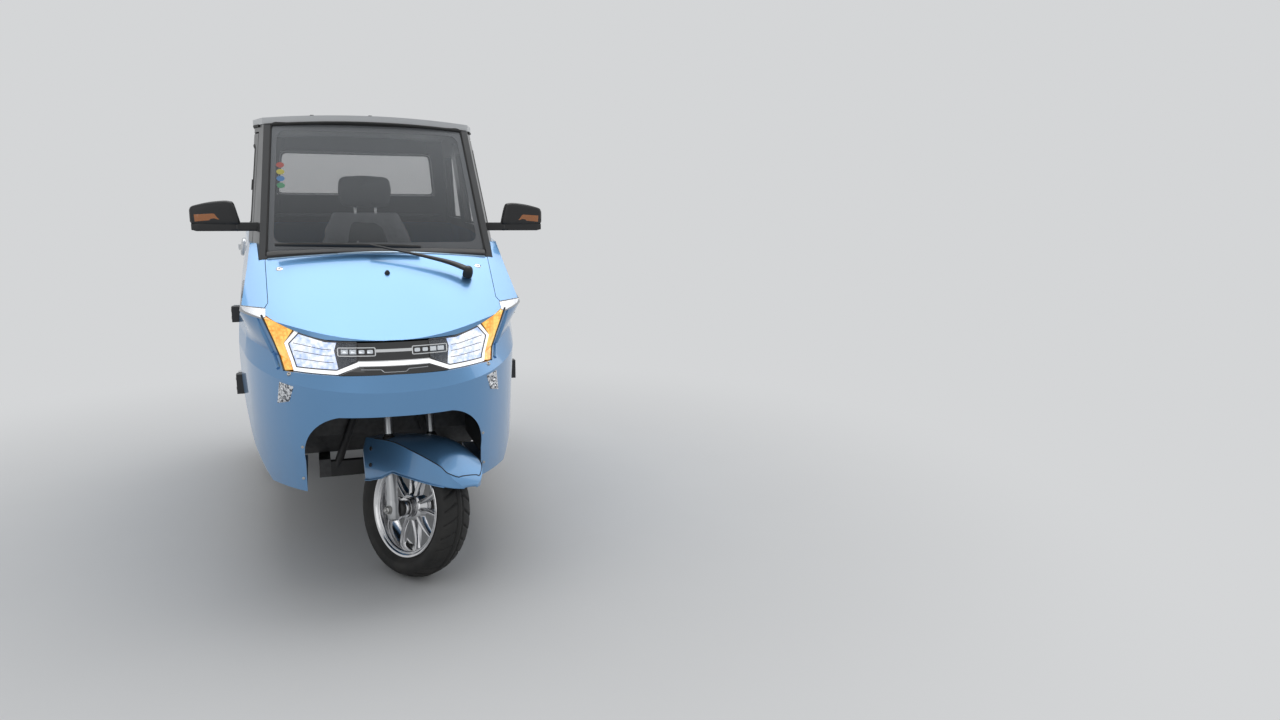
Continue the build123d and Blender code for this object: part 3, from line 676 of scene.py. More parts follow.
BLUE_PAINT = Finish(
    "light_blue_metallic", "body_paint", (0.135, 0.32, 0.58), 0.34, 0.72, 1.0, drift=0.04, drift_scale=1.5,
    dust=0.30, dust_top=0.55, grain=(2500, 0.003, 0.3),
)
ROOF_PAINT = Finish(
    "pale_roof_gelcoat", "roof_paint", (0.60, 0.61, 0.62), 0.42, 0.0, 0.1, drift=0.05, grain=(900, 0.003, 0.3),
)
PILLAR = Finish("dark_grey_pillar", "dark_plastic", (0.045, 0.046, 0.048), 0.34, 0.0, 0.25, grain=(1400, 0.01, 0.3))
TRIM_BLACK = Finish(
    "moulded_black_trim", "dark_plastic", (0.018, 0.018, 0.019), 0.42, wear=0.2, wear_colour=(0.1, 0.1, 0.1),
    grain=(900, 0.03, 0.3), dust=0.25,
)
GLOSS_BLACK = Finish(
    "gloss_black_trim", "gloss_black", (0.008, 0.008, 0.009), 0.08, 0.0, 1.0, grain=(500, 0.001, 0.3),
)
RUBBER = Finish("black_rubber_seal", "dark_plastic", (0.012, 0.012, 0.012), 0.6, dust=0.1, grain=(800, 0.03, 0.3))
LINER = Finish(
    "wheel_housing_liner", "dark_plastic", (0.010, 0.010, 0.011), 0.75, dust=0.3, dust_top=0.7,
    grain=(300, 0.05, 0.3),
)
CHASSIS = Finish(
    "black_chassis_paint", "black_steel", (0.02, 0.02, 0.021), 0.5, dust=0.4, wear=0.3, grain=(260, 0.04, 0.3),
)
SILVER = Finish(
    "bright_silver_trim", "silver_trim", (0.48, 0.49, 0.51), 0.20, 0.85, 0.3, dust=0.1, grain=(1500, 0.003, 0.3),
)
WHITE_TRIM = Finish(
    "pale_handle_plastic", "silver_trim", (0.74, 0.75, 0.76), 0.18, 0.3, 0.8, grain=(1500, 0.003, 0.3),
)
FORK_PAINT = Finish(
    "silver_fork_paint", "silver_paint", (0.50, 0.51, 0.52), 0.30, 0.8, 0.4, dust=0.35, grain=(700, 0.008, 0.3),
)
CHROME = Finish(
    "bright_plating", "silver_trim", (0.78, 0.79, 0.80), 0.06, 1.0, drift=0.05, dust=0.15,
    grain=(600, 0.002, 0.3),
)
ZINC = Finish(
    "zinc_fastener", "silver_trim", (0.46, 0.46, 0.45), 0.32, 1.0, drift=0.15, dust=0.2, grain=(900, 0.01, 0.3),
)
ALLOY = Finish(
    "polished_casting", "cast_alloy", (0.66, 0.66, 0.67), 0.14, 1.0, drift=0.1, dust=0.25, dust_top=0.35,
    grain=(240, 0.008, 0.3),
)
TYRE = Finish(
    "worn_tyre_tread", "tyre_rubber", (0.011, 0.011, 0.0105), 0.62, dust=0.25, dust_top=0.4, wear=0.25,
    wear_colour=(0.04, 0.038, 0.036), dust_colour=(0.10, 0.09, 0.08), grain=(700, 0.05, 0.3),
)
VINYL = Finish("black_seat_vinyl", "vinyl", (0.10, 0.104, 0.11), 0.42, grain=(900, 0.05, 0.8))
CABIN = Finish("grey_cabin_moulding", "dark_plastic", (0.11, 0.115, 0.12), 0.6, grain=(1000, 0.04, 0.7))
GRIP = Finish("ribbed_grip", "grip_rubber", (0.015, 0.015, 0.016), 0.7, grain=(500, 0.08, 0.9))
DISPLAY = Finish("dark_display", "gloss_black", (0.01, 0.014, 0.02), 0.06, 0.0, 1.0, grain=(500, 0.001, 0.3))
# Window glass: the grey laid over the pane at its alpha, darker at the bottom and paler at the top, is a painted sky
# reflection.
WINDOW = Glazing("tinted_window_glass", "window_glass", (0.44, 0.46, 0.48), 0.24, low_share=0.35)
CLEAR = Glazing("clear_lamp_moulding", "clear_lens", (0.45, 0.50, 0.58), 0.10, 0.01, 0.7, 0.9)
MIRROR_GLASS = Finish(
    "mirror_glass", "silver_trim", (0.85, 0.86, 0.87), 0.02, 1.0, drift=0.02, grain=(500, 0.0005, 0.3),
)
REFLECTOR = Finish("lamp_reflector", "silver_trim", (0.82, 0.86, 0.92), 0.10, 0.9, grain=(120, 0.06, 0.8))
DAY_LIGHT = Glow("white_light_strip", "white_lens", (1.0, 1.0, 1.0), (0.93, 0.96, 1.0), 0.95, 60.0)
HEAD_GLOW = Glow("lit_reflector", "white_lens", (1.0, 1.0, 1.0), (0.40, 0.54, 0.92), 1.15, 70.0, 0.9)
AMBER = Glow("amber_indicator", "amber_lens", (1.0, 0.62, 0.13), (0.85, 0.25, 0.01), 1.0, 85.0, 0.4)
REPEATER = Finish("amber_repeater", "amber_lens", (0.42, 0.13, 0.02), 0.14, 0.0, 1.0, grain=(300, 0.05, 0.3))
RED = Finish("red_tail_lens", "red_lens", (0.40, 0.01, 0.01), 0.10, 0.0, 1.0, dust=0.1, grain=(160, 0.06, 1.0))
# The hood's rear lip: the body paint made paler, a painted highlight along the hood's top edge.
LIP_PAINTED_HIGHLIGHT = Finish(
    "pale_blue_lip", "body_paint", (0.42, 0.60, 0.78), 0.25, 0.4, 1.0, drift=0.03, grain=(2500, 0.003, 0.3),
)
BORDER = Finish("smoked_glass_border", "gloss_black", (0.13, 0.135, 0.145), 0.10, 0.0, 0.6, grain=(500, 0.001, 0.3))
# The seat film: its near-white layer at its alpha is partly the film's own milkiness and partly a painted sheen for its
# bright crinkles.
FILM_PAINTED_SHEEN = Glazing("clear_film", "clear_lens", (0.93, 0.95, 0.97), 0.42, 0.10, ripple_scale=45.0, ripple=0.004)
# Corner reflectors' foil: the dark and bright colours of its facets are a painted reflection.
FACETED_PAINTED_REFLECTION = Facets("faceted_foil", "clear_lens", (0.05, 0.06, 0.08), (0.85, 0.87, 0.90))


# The body's forms, as functions of two lengths


@dataclass(frozen=True)
class NoseForm:
    """The nose's face: plan outlines at five heights, each an arc and a corner arc, ruled from one to the next.

    The rows hold the height over the axle, the climb per length, the middle's place, the arc's end x and y and
    the corner's end x and y.
    """

    rows: tuple = (
        (250, 0, -176, 300, -30, 430, 230),
        (712.24, 0.16, -214, 330, -50, 454, 230),
        (765.8, 0.16, -180, 325, 4, 446, 250),
        (915, 0, -98, 384, 12, 448, 240),
        (1190, 0, 60, 404, 130, 470, 300),
    )
    step: float = 4.0

    @staticmethod
    def outline(row: Sequence[float]) -> np.ndarray:
        """One half plan outline: the arc by even angles, then the corner arc that leaves it without a bend.

        Args:
            row: one of the rows.

        Returns:
            Points of x, distance behind the axle and height.
        """
        z, climb, tip, near_x, near_y, far_x, far_y = row
        radius = (near_x**2 + (near_y - tip) ** 2) / (2 * (near_y - tip))
        end = math.asin(near_x / radius)
        a = np.linspace(0, end, 60)
        front = joined(radius * np.sin(a), tip + radius * (1 - np.cos(a)))
        inward = np.array((-math.sin(end), math.cos(end)))
        gap = np.array((far_x - near_x, far_y - near_y))
        bend = gap @ gap / (2 * gap @ inward)
        centre = np.array((near_x, near_y)) + bend * inward
        last = (np.array((far_x, far_y)) - centre) / bend
        b = np.linspace(end, math.atan2(last[0], -last[1]), 30)[1:]
        corner = centre + bend * joined(np.sin(b), -np.cos(b))
        flat = np.vstack([front, corner])
        scale = math.hypot(1, climb)
        return joined(flat[:, 0], flat[:, 1] / scale, z + climb * flat[:, 1] / scale)

    def table(self) -> tuple[np.ndarray, np.ndarray, np.ndarray]:
        """Resamples the face on even x and z: blended outlines are read at even x, then at even heights.

        Returns:
            The x values, the heights, and the distance behind the axle for each pair.
        """
        lines = np.stack([self.outline(row) for row in self.rows])
        share = unit(24)[:, None, None]
        ruled = np.concatenate([(1 - share) * low[None] + share * high[None] for low, high in zip(lines, lines[1:])])
        x = np.arange(0, 441, self.step)
        y = np.stack([np.interp(x, line[:, 0], line[:, 1]) for line in ruled])
        z = np.stack([np.interp(x, line[:, 0], line[:, 2]) for line in ruled])
        height = np.arange(560, 1001, self.step)
        order = np.argsort(z, axis=0)
        y, z = np.take_along_axis(y, order, 0), np.take_along_axis(z, order, 0)
        return x, height, np.stack([np.interp(height, z[:, k], y[:, k]) for k in range(len(x))])

    def place(self, flat: np.ndarray, depth: float | np.ndarray = 0.0) -> np.ndarray:
        """Sets front-view points on the face, moved back by a depth.

        Args:
            flat: an array whose last axis is x and height.
            depth: how far behind the face, one value or one per point.

        Returns:
            The same array with x, distance behind the axle and height.
        """
        x, height, table = self.table()
        i = np.clip(np.abs(flat[..., 0]) / self.step, 0, len(x) - 1.001)
        j = np.clip((flat[..., 1] - height[0]) / self.step, 0, len(height) - 1.001)
        i0, j0 = i.astype(int), j.astype(int)
        fi, fj = i - i0, j - j0
        low = table[i0, j0] * (1 - fi) + table[i0 + 1, j0] * fi
        high = table[i0, j0 + 1] * (1 - fi) + table[i0 + 1, j0 + 1] * fi
        return joined(flat[..., 0], low * (1 - fj) + high * fj + depth, flat[..., 1])


@dataclass(frozen=True)
class HoodForm:
    """The hood's slope: a plane that climbs at 32 degrees from its front edge, crowned across by a wide arc."""

    edge_y: float = -138.0
    edge_z: float = 829.0
    slope: float = math.radians(32.0)
    crown: float = 2900.0

    def at(self, x: np.ndarray, y: np.ndarray, lift: float = 0.0) -> np.ndarray:
        """The surface over x and distance behind the axle, raised along the slope's normal by lift.

        Args:
            x: places across the car.
            y: distances behind the axle.
            lift: how far above the hood.

        Returns:
            The points.
        """
        x, y = np.broadcast_arrays(np.asarray(x, float), np.asarray(y, float))
        rise = lift - x**2 / (2 * self.crown)
        run = (y - self.edge_y + rise * math.sin(self.slope)) / math.cos(self.slope)
        return joined(x, y, self.edge_z + run * math.sin(self.slope) + rise * math.cos(self.slope))

    def normal(self, x: float) -> np.ndarray:
        """The outward direction at x."""
        up = np.array((x / self.crown, -math.sin(self.slope), math.cos(self.slope)))
        return up / np.linalg.norm(up)


@dataclass(frozen=True)
class CabinForm:
    """The upper cabin: bowed screen and rear and straight-ruled sides between a low and a high plan outline.

    Each outline holds its height, the screen's middle y, then x and y of the screen's corner and of the pillar's
    bend, x with the near and far y of the straight side, x and y of the rear corner, and the rear's middle y.
    """

    low: tuple = (1030, 236, 396, 255, 443, 470, 474, 1000, 1720, 400, 1842, 1860)
    high: tuple = (1580, 590, 363, 663, 400, 822, 404, 1107, 1432, 325, 1537, 1555)

    def share(self, z: np.ndarray) -> np.ndarray:
        """How far z is from the low outline to the high one."""
        return (np.asarray(z, float) - self.low[0]) / (self.high[0] - self.low[0])

    def bowed(self, x: np.ndarray, z: np.ndarray, low: tuple, high: tuple) -> np.ndarray:
        """Distance behind the axle of a bowed face: arcs through a middle and a corner, blended by height.

        Args:
            x: places across the car.
            z: heights.
            low: the low arc's middle y and its corner's x and y.
            high: the same for the high arc.

        Returns:
            One distance per point.
        """
        s = self.share(z)
        half = (1 - s) * low[1] + s * high[1]
        sag = (1 - s) * (low[2] - low[0]) + s * (high[2] - high[0])
        return (1 - s) * low[0] + s * high[0] + sag * (np.asarray(x, float) / half) ** 2

    def screen(self, flat: np.ndarray, inset: float = 0.0) -> np.ndarray:
        """Sets front-view points on the windshield's face, moved in by inset.

        Args:
            flat: an array whose last axis is x and height.
            inset: how far inside the face.

        Returns:
            The points.
        """
        a, b = self.low, self.high
        y = self.bowed(flat[..., 0], flat[..., 1], (a[1], a[2], a[3]), (b[1], b[2], b[3]))
        return joined(flat[..., 0], y - inset / SCREEN_OUT[1], flat[..., 1])

    def rear(self, flat: np.ndarray, inset: float = 0.0) -> np.ndarray:
        """Sets rear-view points on the rear face, moved in by inset.

        Args:
            flat: an array whose last axis is x and height.
            inset: how far inside the face.

        Returns:
            The points.
        """
        a, b = self.low, self.high
        y = self.bowed(flat[..., 0], flat[..., 1], (a[11], a[9], a[10]), (b[11], b[9], b[10]))
        return joined(flat[..., 0], y - inset / REAR_WINDOW_OUT[1], flat[..., 1])

    def flank(self, flat: np.ndarray, side: int, inset: float = 0.0) -> np.ndarray:
        """Sets side-view points on the left or right face, moved in by inset: x is read along the outline.

        Args:
            flat: an array whose last axis is distance behind the axle and height.
            side: 1 for the left and -1 for the right.
            inset: how far inside the face.

        Returns:
            The points.
        """
        y, z = flat[..., 0], flat[..., 1]
        s = self.share(z)
        corners = [((1 - s) * self.low[i] + s * self.high[i], (1 - s) * self.low[j] + s * self.high[j])
                   for i, j in ((2, 3), (4, 5), (6, 7), (6, 8), (9, 10))]
        x = corners[0][0]
        for (x0, y0), (x1, y1) in zip(corners, corners[1:]):
            share = np.clip((y - y0) / (y1 - y0), 0, 1)
            x = np.where(y >= y0, x0 + share * (x1 - x0), x)
        return joined(side * (x - inset), y, z)


@dataclass(frozen=True)
class SteeringLine:
    """The steering axis and the turn at which the front wheel is parked."""

    rake: float = math.radians(16.0)
    parked: float = math.radians(33.0)
    offset: float = 110.0
    axis_y: float = 98.0
    tyre_radius: float = 236.5

    @property
    def up(self) -> np.ndarray:
        """The axis direction."""
        return np.array((0.0, math.sin(self.rake), math.cos(self.rake)))

    @property
    def hub(self) -> np.ndarray:
        """The wheel's centre with the bar straight ahead.

        Returns:
            The centre, lifted so that the parked tyre touches the ground.
        """
        lean = math.asin(math.sin(self.rake) * math.sin(self.parked))
        z = self.tyre_radius * math.cos(lean) + self.offset * math.sin(self.rake) * (1 - math.cos(self.parked))
        return np.array((0.0, self.axis_y - self.offset / math.cos(self.rake), z))

    def park(self, points: np.ndarray) -> np.ndarray:
        """Turns points from straight ahead to the parked angle: each is split along and across the axis.

        Args:
            points: an array whose last axis is x, distance behind the axle and height.

        Returns:
            The turned points.
        """
        pivot = np.array((0.0, self.axis_y, self.hub[2]))
        p = np.asarray(points, float) - pivot
        k, c, s = self.up, math.cos(self.parked), math.sin(self.parked)
        return pivot + p * c + np.cross(k, p) * s + (p @ k)[..., None] * k * (1 - c)


def rounded(corners: Sequence[Flat], radius: float, count: int) -> np.ndarray:
    """A closed outline with rounded corners: each corner is a parabola between points a radius away from it.

    Args:
        corners: the outline's corners.
        radius: how far from a corner its rounding starts, or one such length per corner.
        count: the number of points on the result.

    Returns:
        Evenly spaced points, one row each.
    """
    p = np.asarray(corners, float)
    reach = np.broadcast_to(np.asarray(radius, float), (len(p),))[:, None]
    back, ahead = np.roll(p, 1, axis=0) - p, np.roll(p, -1, axis=0) - p
    a = (p + reach * back / np.linalg.norm(back, axis=1, keepdims=True))[:, None]
    b = (p + reach * ahead / np.linalg.norm(ahead, axis=1, keepdims=True))[:, None]
    t = unit(9)[None, :, None]
    loop = ((1 - t) ** 2 * a + 2 * (1 - t) * t * p[:, None] + t**2 * b).reshape(-1, 2)
    return resampled(np.vstack([loop, loop[:1]]), count + 1)[:-1]


# The base of every sub-assembly


SCREW_HEAD: tuple[Flat, ...] = ((-1, 0), (-1, 1), (0.25, 1), (0.42, 0.8), (0.42, 0.45), (0.1, 0.4), (0.1, 0))


@dataclass
class Assembly:
    """A sub-assembly: it puts its surfaces in the frame, dresses them and says what they ride on."""

    datum: Datum
    body: Body = field(default=Body.SHELL, kw_only=True)

    def put(
        self, name: str, shapes: np.ndarray | list[np.ndarray], finish: Look, form: Form = Form.SHEET, *,
        body: Body | None = None, slot: str = "", facing: Point | None = None, wall: float = 0.0, bevel: float = 0.0,
        flat: bool = False, replaces: Sequence[str] = (),
    ) -> bpy.types.Object:
        """Makes one piece from grids of points.

        Args:
            name: the piece's name.
            shapes: a grid of points in millimetres, rows by columns by three, or several of them.
            finish: the piece's finish.
            form: how the grids close.
            body: the body that it rides on, where it isn't the sub-assembly's own.
            slot: the record's material slot, where it isn't the finish's own.
            facing: the way an open surface faces; a closed one needs none.
            wall: thickness given to an open surface, behind it.
            bevel: width of the bevel on sharp edges.
            flat: whether the faces are shaded flat.
            replaces: the nodes that the piece stands for.

        Returns:
            The new object, at the origin.
        """
        wrap_rows, wrap_columns, capped = form.value
        corners, faces, start = [], [], 0
        for shape in shapes if isinstance(shapes, list) else [shapes]:
            rows, columns = shape.shape[:2]
            corners.append(np.asarray(shape, float).reshape(-1, 3))
            faces += (grid_faces(rows, columns, wrap_rows, wrap_columns) + start).tolist()
            if capped:
                last = start + (rows - 1) * columns
                faces.append(list(range(start + columns - 1, start - 1, -1)))
                faces.append(list(range(last, last + columns)))
            start += rows * columns
        mesh = bpy.data.meshes.new(name)
        mesh.from_pydata(self.datum.place(np.vstack(corners)), [], faces)
        self.tidy(mesh, facing)
        mesh.polygons.foreach_set("use_smooth", np.full(len(mesh.polygons), not flat))
        if not flat:
            mesh.set_sharp_from_angle(angle=SHARP_ANGLE)
        piece = bpy.data.objects.new(name, mesh)
        bpy.context.collection.objects.link(piece)
        if wall:
            solid = piece.modifiers.new("wall", "SOLIDIFY")
            solid.thickness, solid.offset = wall * MILLIMETRE, -1.0
        if bevel:
            edge = piece.modifiers.new("bevel", "BEVEL")
            edge.width, edge.segments, edge.limit_method = bevel * MILLIMETRE, 2, "ANGLE"
            edge.angle_limit, edge.harden_normals = SHARP_ANGLE, False
        return self.dress(piece, finish, body or self.body, slot or finish.slot, replaces)

    @staticmethod
    def tidy(mesh: bpy.types.Mesh, facing: Point | None) -> None:
        """Closes seams and poles and turns the faces outwards.

        Args:
            mesh: the mesh, changed in place.
            facing: the way an open surface faces.
        """
        work = bmesh.new()
        work.from_mesh(mesh)
        bmesh.ops.remove_doubles(work, verts=work.verts, dist=WELD)
        bmesh.ops.dissolve_degenerate(work, dist=SLIVER, edges=work.edges)
        bmesh.ops.recalc_face_normals(work, faces=work.faces)
        work.to_mesh(mesh)
        work.free()
        if facing is not None:
            normals, areas = np.zeros(len(mesh.polygons) * 3), np.zeros(len(mesh.polygons))
            mesh.polygons.foreach_get("normal", normals)
            mesh.polygons.foreach_get("area", areas)
            if (areas @ normals.reshape(-1, 3)) @ np.asarray(facing) < 0:
                mesh.flip_normals()

    @staticmethod
    def dress(
        piece: bpy.types.Object, finish: Look, body: Body, slot: str, replaces: Sequence[str] = ()
    ) -> bpy.types.Object:
        """Gives a piece its finish and says what it is to the frame.

        Args:
            piece: the object.
            finish: its finish.
            body: the body that it rides on.
            slot: not used.
            replaces: the nodes that it stands for.

        Returns:
            The same object.
        """
        piece.data.materials.clear()
        piece.data.materials.append(finish.material())
        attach(piece, body.value)
        if replaces:
            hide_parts(*replaces)
        LOG.info("built %s", piece.name)
        return piece

    def bar(
        self, name: str, path: np.ndarray, profile: np.ndarray, finish: Look, up: Point = UP, closed: bool = False,
        **options: object,
    ) -> bpy.types.Object:
        """A section carried along a path; a closed path makes a ring, an open one has capped ends.

        Args:
            name: the piece's name.
            path: points in millimetres.
            profile: the section, across the path and along up.
            finish: its finish.
            up: guides the section's second direction.
            closed: whether the path joins its own start.
            options: what put takes besides.

        Returns:
            The new object.
        """
        form = Form.RING if closed else Form.TUBE
        return self.put(name, along(path, profile, up, closed), finish, form, **options)

    def spin(
        self, name: str, profile: object, centre: Sequence[float], axis: Sequence[float], steps: int, finish: Look,
        **options: object,
    ) -> bpy.types.Object:
        """A profile turned about an axis.

        Args:
            name: the piece's name.
            profile: (distance along the axis, radius) pairs in millimetres.
            centre: a point on the axis.
            axis: the axis' direction.
            steps: how many copies go round.
            finish: its finish.
            options: what put takes besides.

        Returns:
            The new object.
        """
        return self.put(name, turned(profile, centre, axis, steps), finish, Form.SPUN, **options)

    def rod(
        self, name: str, path: Sequence[Point], radius: float, finish: Look, count: int = 24, **options: object
    ) -> bpy.types.Object:
        """A round bar along a smooth curve through a few points.

        Args:
            name: the piece's name.
            path: the points in millimetres.
            radius: the bar's radius.
            finish: its finish.
            count: how many sections it has.
            options: what put takes besides.

        Returns:
            The new object.
        """
        line = smooth_path(path, count)
        up = (0.31, 0.22, 0.92) if abs(np.ptp(line[:, 2])) < np.ptp(line) * 0.7 else (0.94, 0.31, 0.12)
        return self.put(name, along(line, circle(12, radius), up), finish, Form.TUBE, **options)

    def screw(
        self, name: str, places: Sequence, normals: Sequence, radius: float, finish: Look,
        profile: Sequence[Flat] = SCREW_HEAD, **options: object,
    ) -> bpy.types.Object:
        """Domed fastener heads with a socket in the middle.

        Args:
            name: the piece's name.
            places: the heads' seats, one row each.
            normals: the way each faces.
            radius: the heads' radius.
            finish: their finish.
            profile: height and radius of the head's section, as shares of the radius.
            options: what put takes besides.

        Returns:
            The new object.
        """
        heads = [turned(np.array(profile) * radius, at, facing, 20) for at, facing in zip(places, normals)]
        return self.put(name, heads, finish, Form.SPUN, **options)


# Front of the car


@dataclass
class LampUnit(Assembly):
    """The lamps across the nose: lit bowls behind clear lenses, framed modules, trim lines and outer strips."""

    nose: NoseForm
    lens_low: tuple[Flat, ...] = ((110, 771), (172, 745), (288, 748))
    lens_high: tuple[Flat, ...] = ((110, 827), (200, 829), (278, 852))
    lens_end: tuple[Flat, ...] = ((288, 748), (308, 818), (278, 852))
    bowl_depth: float = 19.0
    bowl_grid: tuple[int, int] = (120, 60)
    dark_share: float = 0.34
    module: tuple[float, float, float, float] = (56.0, 166.0, 787.0, 811.0)
    strip: tuple[Flat, ...] = ((399, 897), (384, 852), (362, 790), (342, 737))
    lip: tuple[Flat, ...] = ((-101, 747), (-42, 746), (-33, 738), (33, 738), (42, 746), (101, 747))

    def build(self) -> None:
        """Builds the unit's pieces."""
        for side in Side:
            self.lens(side)
            self.outer_strip(side)
        for side in Side:
            self.modules(side)
        self.centre_bar()

    def patch(self, side: Side, columns: int, rows: int) -> np.ndarray:
        """The lens outline as a four-sided patch in the front view.

        Args:
            side: which side of the car.
            columns: points across.
            rows: points upwards.

        Returns:
            A grid of x and height.
        """
        low, high = resampled(self.lens_low, columns), resampled(self.lens_high, columns)
        start = resampled((self.lens_low[0], self.lens_high[0]), rows)
        end = resampled(self.lens_end, rows)
        return four_sided(low, high, start, end) * (side.value, 1)

    def lens(self, side: Side) -> None:
        """The clear lens and the lit bowl behind it, fluted and finned.

        The bowl's depth is a parabola across times one upwards, to the power 0.6, less the flutes, which are sines
        without their sign.

        Args:
            side: which side of the car.
        """
        flat = self.patch(side, 44, 22)
        self.put(f"headlamp_lens_{side.word}", self.nose.place(flat, 0.4), CLEAR, facing=FRONT, wall=2.5,
                 replaces=side.only_left("headlamps"))
        columns, rows = self.bowl_grid
        flat = self.patch(side, columns, rows)
        v, u = np.meshgrid(unit(rows), unit(columns), indexing="ij")
        bowl = (4 * u * (1 - u)) ** 0.6 * (4 * v * (1 - v)) ** 0.6
        flutes = 0.9 * np.abs(np.sin(u * math.pi * 13)) + 0.5 * np.abs(np.sin(v * math.pi * 7))
        points = self.nose.place(flat, 4.0 + self.bowl_depth * bowl - flutes * bowl)
        lit = int(columns * self.dark_share)
        self.put(f"headlamp_bowl_{side.word}", points[:, lit:], HEAD_GLOW, facing=FRONT, wall=1.0)
        self.put(f"headlamp_inner_{side.word}", points[:, : lit + 1], GLOSS_BLACK, facing=FRONT, wall=1.0)
        fins = [along(points[row, lit + 6 : -6] + (0, -2.5, 0), circle(8, 1.1), FRONT) for row in (13, 26, 39)]
        self.put(f"headlamp_fins_{side.word}", fins, GLOSS_BLACK, Form.TUBE)
        low, end, high = resampled(self.lens_low, 60), resampled(self.lens_end, 30), resampled(self.lens_high, 60)
        path = self.nose.place(np.vstack([low, end[1:], high[::-1]]) * (side.value, 1), -0.6)
        self.bar(f"headlamp_gasket_{side.word}", path, circle(10, 2.0), GLOSS_BLACK, FRONT, closed=True)

    def modules(self, side: Side) -> None:
        """A framed row of small square optics beside the middle.

        Args:
            side: which side of the car.
        """
        x0, x1, z0, z1 = self.module
        loop = rounded(((x0, z0), (x1, z0), (x1, z1), (x0, z1)), 4, 96) * (side.value, 1)
        path = self.nose.place(loop, -0.5)
        self.bar(f"lamp_module_frame_{side.word}", path, squircle(1.6, 2.2, 10), CHROME, FRONT, closed=True)
        optics = []
        for k in range(4):
            a = x0 + 5 + k * (x1 - x0 - 10) / 4
            b = a + (x1 - x0 - 10) / 4 - 4
            u, v = np.meshgrid(unit(9), unit(7))
            flat = joined((a + (b - a) * u) * side.value, z0 + 5 + (z1 - z0 - 10) * v)
            optics.append(self.nose.place(flat, 1.2 - 2.6 * (16 * u * (1 - u) * v * (1 - v)) ** 0.5))
        self.put(f"lamp_module_optics_{side.word}", optics, REFLECTOR, facing=FRONT)

    def centre_bar(self) -> None:
        """A bright bar between the modules and a pale outline on the lower lip."""
        x = np.linspace(-54, 54, 60)
        path = self.nose.place(joined(x, 801.0), -0.5)
        self.bar("lamp_centre_bar", path, squircle(5.0, 1.8, 16), CHROME, FRONT)
        path = self.nose.place(resampled(self.lip, 90), -0.2)
        self.bar("lamp_lip_line", path, squircle(1.3, 1.0, 8), SILVER, FRONT)

    def outer_strip(self, side: Side) -> None:
        """The painted strip outside the indicator, and the black joint between them.

        Args:
            side: which side of the car.
        """
        path = self.nose.place(smooth_path(self.strip, 40) * (side.value, 1), 0.0)
        width = 7.0 * smoothstep(unit(40), -0.25, 0.5)
        profile = squircle(1.0, 4.5, 20, 3.0)[None] * joined(width, np.ones(40))[:, None]
        self.bar(f"lamp_outer_strip_{side.word}", path, profile, BLUE_PAINT, FRONT)
        edge = np.array(((384, 905), (352, 820), (326, 733)), float) * (side.value, 1)
        self.bar(f"indicator_joint_{side.word}", self.nose.place(resampled(edge, 40), 0.0), circle(10, 3.4),
                 GLOSS_BLACK, FRONT)


@dataclass
class CornerReflectors(Assembly):
    """Clear faceted reflectors let into the corners of the apron."""

    nose: NoseForm
    low: tuple[Flat, Flat] = ((315, 640), (352, 626))
    high: tuple[Flat, Flat] = ((300, 691), (342, 699))
    relief: float = 4.0

    def build(self) -> None:
        """Builds both, with facets whose corners stand at uneven depths."""
        rows, columns = 11, 8
        low, high = resampled(self.low, columns), resampled(self.high, columns)
        flat = four_sided(low, high, resampled((low[0], high[0]), rows), resampled((low[-1], high[-1]), rows))
        i, j = np.meshgrid(np.arange(rows), np.arange(columns), indexing="ij")
        uneven = np.sin(i * 12.9898 + j * 78.233) * 43758.5453
        uneven = uneven - np.floor(uneven)
        rim = (i > 0) & (i < rows - 1) & (j > 0) & (j < columns - 1)
        depth = np.where(rim, -3.6 + self.relief * 2 * (uneven - 0.5), -1.0)
        for side in Side:
            points = self.nose.place(flat * (side.value, 1), depth)
            self.put(f"corner_reflector_{side.word}", points, FACETED_PAINTED_REFLECTION, facing=FRONT, wall=2.0, flat=True,
                     replaces=side.only_left("corner_lamps"))


@dataclass
class HoodFittings(Assembly):
    """Hood fasteners, the washer nozzle, the rear lip, painted paler than the body as a painted highlight, and the
    screws on the ledge.
    """

    nose: NoseForm
    hood: HoodForm
    fasteners: tuple[Flat, ...] = ((330, 220), (-330, 220))
    ledge_screws: tuple[Flat, ...] = ((311, 725), (-311, 725))
    nozzle: Flat = (12, 160)
    rear_lip: Flat = (366, 263)

    def build(self) -> None:
        """Builds the fittings."""
        places = self.hood.at(*np.array(self.fasteners, float).T)
        normals = np.stack([self.hood.normal(x) for x, _ in self.fasteners])
        self.screw("hood_washers", places, normals, 11.0, CHROME,
                   profile=((-0.3, 0), (-0.3, 1), (0.05, 1), (0.14, 0.86), (0.14, 0.5), (0, 0.46), (0, 0)))
        self.screw("hood_fasteners", places, normals, 5.5, ZINC)
        screws = self.nose.place(np.array(self.ledge_screws, float), -0.4)
        up = np.array([(0.15 * np.sign(x), -0.62, 0.77) for x, _ in self.ledge_screws])
        self.screw("ledge_screws", screws, up, 7.0, ZINC)
        x, y = self.nozzle
        dome = ((-2, 0), (-2, 9), (1, 9.5), (4, 8), (8, 6.5), (11, 4), (12, 0))
        self.spin("washer_nozzle", dome, self.hood.at(x, y), self.hood.normal(x), 24, TRIM_BLACK)
        half, back = self.rear_lip
        across = np.linspace(-half, half, 90)
        y = back + 15.0 * (across / half) ** 2
        path = self.hood.at(across, y, 1.0)
        # The lip is painted paler than the body: a painted highlight.
        self.bar("hood_rear_lip", path, squircle(7.0, 2.2, 20, 2.6), LIP_PAINTED_HIGHLIGHT, (0, -0.53, 0.85))


